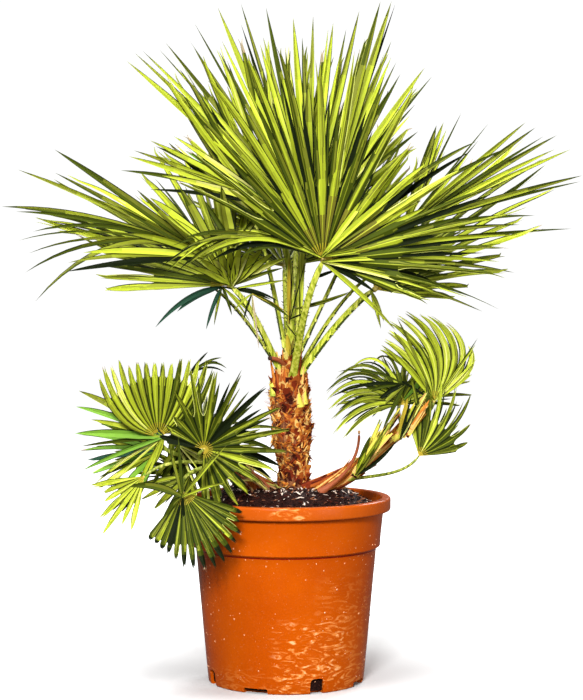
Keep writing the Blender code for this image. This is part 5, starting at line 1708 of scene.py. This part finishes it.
def makeHeads(materials):
    # The small yellow tongue where each stalk meets its blade.
    points = []
    faces = []
    rings, sides = 6, 10
    for fan in fans:
        hub, axis, normal, side = bladeFrame(fan)
        size = fan["stalk"] * (0.95 if fan["stem"] == "trunk" else 0.70)
        first = len(points)
        for ring in range(rings):
            tilt = math.pi * (ring + 0.5) / rings
            for turn in turns(sides):
                place = side * math.cos(turn) * math.sin(tilt) * size
                place += normal * math.sin(turn) * math.sin(tilt) * size * 0.42
                points.append(hub + axis * (0.2 - math.cos(tilt)) * size * 0.9 + place)
        faces += loftFaces(rings, sides, first) + capFaces(points, sides, first)
    return stand(pieceFrom("blade_tongues", points, faces, materials, None, 80.0), "stalk")


def makeRod(name, node, start, middle, end, footRadius, tipRadius, materials, darkFrom, swell=0.0):
    # A bare stalk: a little knotty, darker towards its cut or withered end.
    start, middle, end = Vector(start), Vector(middle), Vector(end)
    control = through(start, middle, end)
    rings, sides = 30, 14
    points = []
    for ring in range(rings):
        share = ring / (rings - 1)
        point, heading = along(start, control, end, share)
        side = heading.cross(up).normalized()
        front = heading.cross(side)
        radius = blend(footRadius, tipRadius, share) * (1.0 + swell * (1.0 - eased(share / 0.2)))
        radius *= 1.0 + 0.10 * noise.noise(Vector((share * 14.0, footRadius * 900.0, 0.0)))
        points += [point + spoke(side, front, turn) * radius for turn in turns(sides)]
    faces = loftFaces(rings, sides)
    kinds = [1 if ring / rings > darkFrom else 0 for ring in range(rings - 1) for corner in range(sides)]
    faces += capFaces(points, sides)
    kinds += [0, 1]
    return stand(pieceFrom(name, points, faces, materials, kinds, 60.0), "stalk", node)


spear = {"height": 0.800, "radius": 0.0060, "lean": (0.030, 0.010), "pleats": 9, "rings": 40,
         "shape": ((0.0, 1.0), (0.3, 0.85), (0.6, 1.1), (0.85, 0.7), (1.0, 0.08))}


def makeSpear(materials):
    # The youngest leaf, still folded: a slim pleated rod.
    foot = trunkCentre(trunk["tip"]) + up * 0.0003
    top = foot + Vector((*spear["lean"], spear["height"] - trunk["tip"]))
    sides = spear["pleats"] * 4
    points = []
    for ring in range(spear["rings"]):
        share = ring / (spear["rings"] - 1)
        swell = next(blend(low[1], high[1], (share - low[0]) / (high[0] - low[0]))
                     for low, high in zip(spear["shape"], spear["shape"][1:]) if share <= high[0])
        for corner in range(sides):
            ridge = 1.0 - 0.16 * (0.5 + 0.5 * math.cos(math.pi * corner / 2.0))
            turn = compass(360.0 * corner / sides + 40.0 * share)
            points.append(foot.lerp(top, share) + turn * spear["radius"] * swell * ridge)
    faces = loftFaces(spear["rings"], sides)
    kinds = [1 if corner % 4 in (0, 3) else 0 for corner in range(sides)] * (spear["rings"] - 1)
    faces += capFaces(points, sides)
    kinds += [0, 0]
    return stand(pieceFrom("folded_leaf", points, faces, materials, kinds, 40.0), "stalk", "spear")


# The boxes that thin old stalks start and end in.
oldStalks = {"count": 9, "seed": 37, "start": ((-0.050, 0.000), (-0.062, -0.012)),
             "end": ((-0.135, -0.080), (-0.115, -0.040), (0.312, 0.352))}


def makeOldStalks(materials):
    # Thin old stalks that rise out of the soil round the left sucker.
    chance = random.Random(oldStalks["seed"])
    mesh = ([], [], [])
    for number in range(oldStalks["count"]):
        start = Vector((*(chance.uniform(*limits) for limits in oldStalks["start"]), soil["top"] - 0.004))
        end = Vector([chance.uniform(*limits) for limits in oldStalks["end"]])
        control = start.lerp(end, 0.45) + up * chance.uniform(0.010, 0.030)
        line = [along(start, control, end, share / 9.0)[0] for share in range(10)]
        hair(mesh, line, chance.uniform(0.0014, 0.0024), chance.choices((0, 1, 2), (5, 3, 4))[0], 8)
    points, faces, kinds = mesh
    return stand(pieceFrom("old_stalks", points, faces, materials, kinds, 70.0), "stalk")


def stalkMaterial(name, low, middle, high):
    material, tree, shader, places = newMaterial(name, middle, 0.40, Specular_IOR_Level=0.2)
    streak = noiseAt(tree, stretched(tree, places, (260.0, 260.0, 10.0)), 1.0, 3.0)
    tone = ramped(tree, streak, (0.34, low), (0.48, middle), (0.66, high))
    feed(tree, shader, "Base Color", tone)
    feed(tree, shader, "Roughness", ranged(tree, streak, 0.3, 0.7, 0.46, 0.34))
    feed(tree, shader, "Normal", bumped(tree, streak, 0.4, 0.0008))
    return material


# Floor, light and camera

studio = {"floor": 60.0, "glow": 0.84, "ambient": 0.19,
          "lamps": (("key", (-0.45, -3.1, 1.7), (0.0, 0.0, 0.45), 0.7, 158.0),
                    ("top", (-0.5, -0.9, 3.0), (0.0, 0.0, 0.60), 0.9, 66.0),
                    ("fill", (2.2, -2.1, 0.7), (0.0, 0.0, 0.35), 1.4, 30.0),
                    ("back", (1.3, 2.9, 2.5), (0.0, 0.0, 0.55), 1.4, 92.0))}


def makeStudio():
    # A white room: the camera sees it bright, the plant is lit by it only softly.
    clearPick()
    bpy.ops.mesh.primitive_plane_add(size=studio["floor"], location=(0.0, 0.0, 0.0))
    floor = bpy.context.object
    floor.name = "floor"
    material, tree, shader, places = newMaterial("paleFloor", (0.92, 0.92, 0.92), 0.9)
    shader.inputs["Emission Strength"].default_value = studio["glow"]
    # The floor's glow fades and its colour darkens towards the pot: painted shade round the pot's foot.
    out = addNode(tree, "ShaderNodeVectorMath", {"operation": "LENGTH"}, {0: places}, output=1)
    glow = ramped(tree, out, (0.14, (0.0, 0.0, 0.0)), (0.62, (1.0, 1.0, 1.0)))
    feed(tree, shader, "Emission Color", glow)
    shade = ramped(tree, out, (0.20, (0.63, 0.63, 0.63)), (0.62, (0.92, 0.92, 0.92)))
    feed(tree, shader, "Base Color", shade)
    floor.data.materials.append(material)
    floor.visible_diffuse = False
    floor.visible_glossy = False
    world = bpy.data.worlds.new("studio")
    world.use_nodes = True
    tree = world.node_tree
    back = tree.nodes["Background"]
    back.inputs["Color"].default_value = (1.0, 1.0, 1.0, 1.0)
    seen = addNode(tree, "ShaderNodeLightPath", output=0)
    strength = seen * (1.05 - studio["ambient"]) + studio["ambient"]
    tree.links.new(strength.socket, back.inputs["Strength"])
    bpy.context.scene.world = world
    for name, place, target, size, power in studio["lamps"]:
        lamp = bpy.data.lights.new(name, "AREA")
        lamp.size = size
        lamp.energy = power
        item = bpy.data.objects.new(name, lamp)
        bpy.context.scene.collection.objects.link(item)
        item.location = place
        item.rotation_euler = (Vector(target) - Vector(place)).to_track_quat("-Z", "Y").to_euler()


def makeCamera():
    data = bpy.data.cameras.new("camera")
    data.sensor_width = picture["sensor"]
    data.lens = picture["focal"] / picture["high"] * picture["sensor"]
    data.shift_x = (picture["wide"] / 2.0 - picture["potMiddle"]) / picture["high"]
    camera = bpy.data.objects.new("camera", data)
    bpy.context.scene.collection.objects.link(camera)
    camera.location = (0.0, -picture["away"], picture["eye"])
    camera.rotation_euler = (math.radians(90.0 - picture["pitch"]), 0.0, 0.0)
    bpy.context.scene.camera = camera
    bpy.context.scene.view_settings.view_transform = "Standard"


makeCamera()
makeStudio()
say("pot")
makePot(potMaterial())
makeDrops(dropMaterial())
say("soil")
makeSoil(soilMaterial())
chipTints = {"Black": (0.010, 0.003, 0.002), "Brown": (0.060, 0.011, 0.006), "Tan": (0.25, 0.095, 0.046),
             "Pale": (0.84, 0.68, 0.56)}
makeChips([grainyMaterial(f"chip{name}", tint, 0.8, 500.0, Specular_IOR_Level=0.10)
           for name, tint in chipTints.items()])
say("trunk")
bark = barkMaterial()
makeTrunk(bark)
barkSet = barkMaterials()
makeBark(barkSet)
for name, sizes in stems.items():
    makeStem(f"{name}_stem_core", sizes, bark)
    makeSheaths(sizes, f"{name}_sheaths", barkSet)
say("stalks")
stalkGreen = stalkMaterial("stalkGreen", (0.18, 0.23, 0.010), (0.44, 0.49, 0.036), (0.72, 0.71, 0.14))
duller = stalkMaterial("suckerStalk", (0.06, 0.085, 0.006), (0.22, 0.27, 0.024), (0.50, 0.50, 0.10))
stalkMaterials = [grainyMaterial("sheath", (0.62, 0.50, 0.10), 0.5, 600.0),
                  grainyMaterial("thorn", (0.06, 0.03, 0.008), 0.5, 600.0),
                  grainyMaterial("stalkEdge", (0.040, 0.062, 0.004), 0.5, 600.0, Specular_IOR_Level=0.1)]
for fan in fans:
    skin = stalkGreen if fan["stem"] == "trunk" else duller
    makeStalk(fan, [skin] + stalkMaterials)
makeHeads([grainyMaterial("tongue", (0.60, 0.46, 0.08), 0.45, 500.0)])
makeSpear([stalkGreen, grainyMaterial("spearFold", (0.24, 0.30, 0.022), 0.5, 600.0)])
woody = [grainyMaterial("deadRust", (0.30, 0.065, 0.014), 0.7, 600.0),
         grainyMaterial("deadTan", (0.50, 0.27, 0.10), 0.7, 600.0),
         grainyMaterial("deadYellow", (0.56, 0.50, 0.09), 0.6, 600.0),
         grainyMaterial("deadEnd", (0.045, 0.012, 0.006), 0.8, 600.0)]
makeRod("cut_stub", "stub", (0.004, -0.002, 0.474), (-0.010, -0.018, 0.490), (-0.026, -0.030, 0.494),
        0.0036, 0.0030, [woody[0], woody[3]], 0.84)
makeRod("dry_rod", "dry_stalk", (0.050, -0.062, soil["top"] - 0.002), (0.096, -0.068, 0.336),
        (0.109, -0.070, 0.388), 0.0034, 0.0018, woody[:2], 0.90, 0.9)
makeOldStalks(woody[:3])
say("fans")
leaves = leafMaterials()
standing = [nodeTree(name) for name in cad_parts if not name.startswith("frond_")]
cores = {fan["name"]: treeOf(*coreBody(fan)) for fan in fans}
grown = []
makeLooseLeaflets(leaves)
for fan in fans:
    others = [tree for name, tree in cores.items() if name != fan["name"]]
    makeFan(fan, standing + others, grown, leaves)

clearPick()
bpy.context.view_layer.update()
say("done")
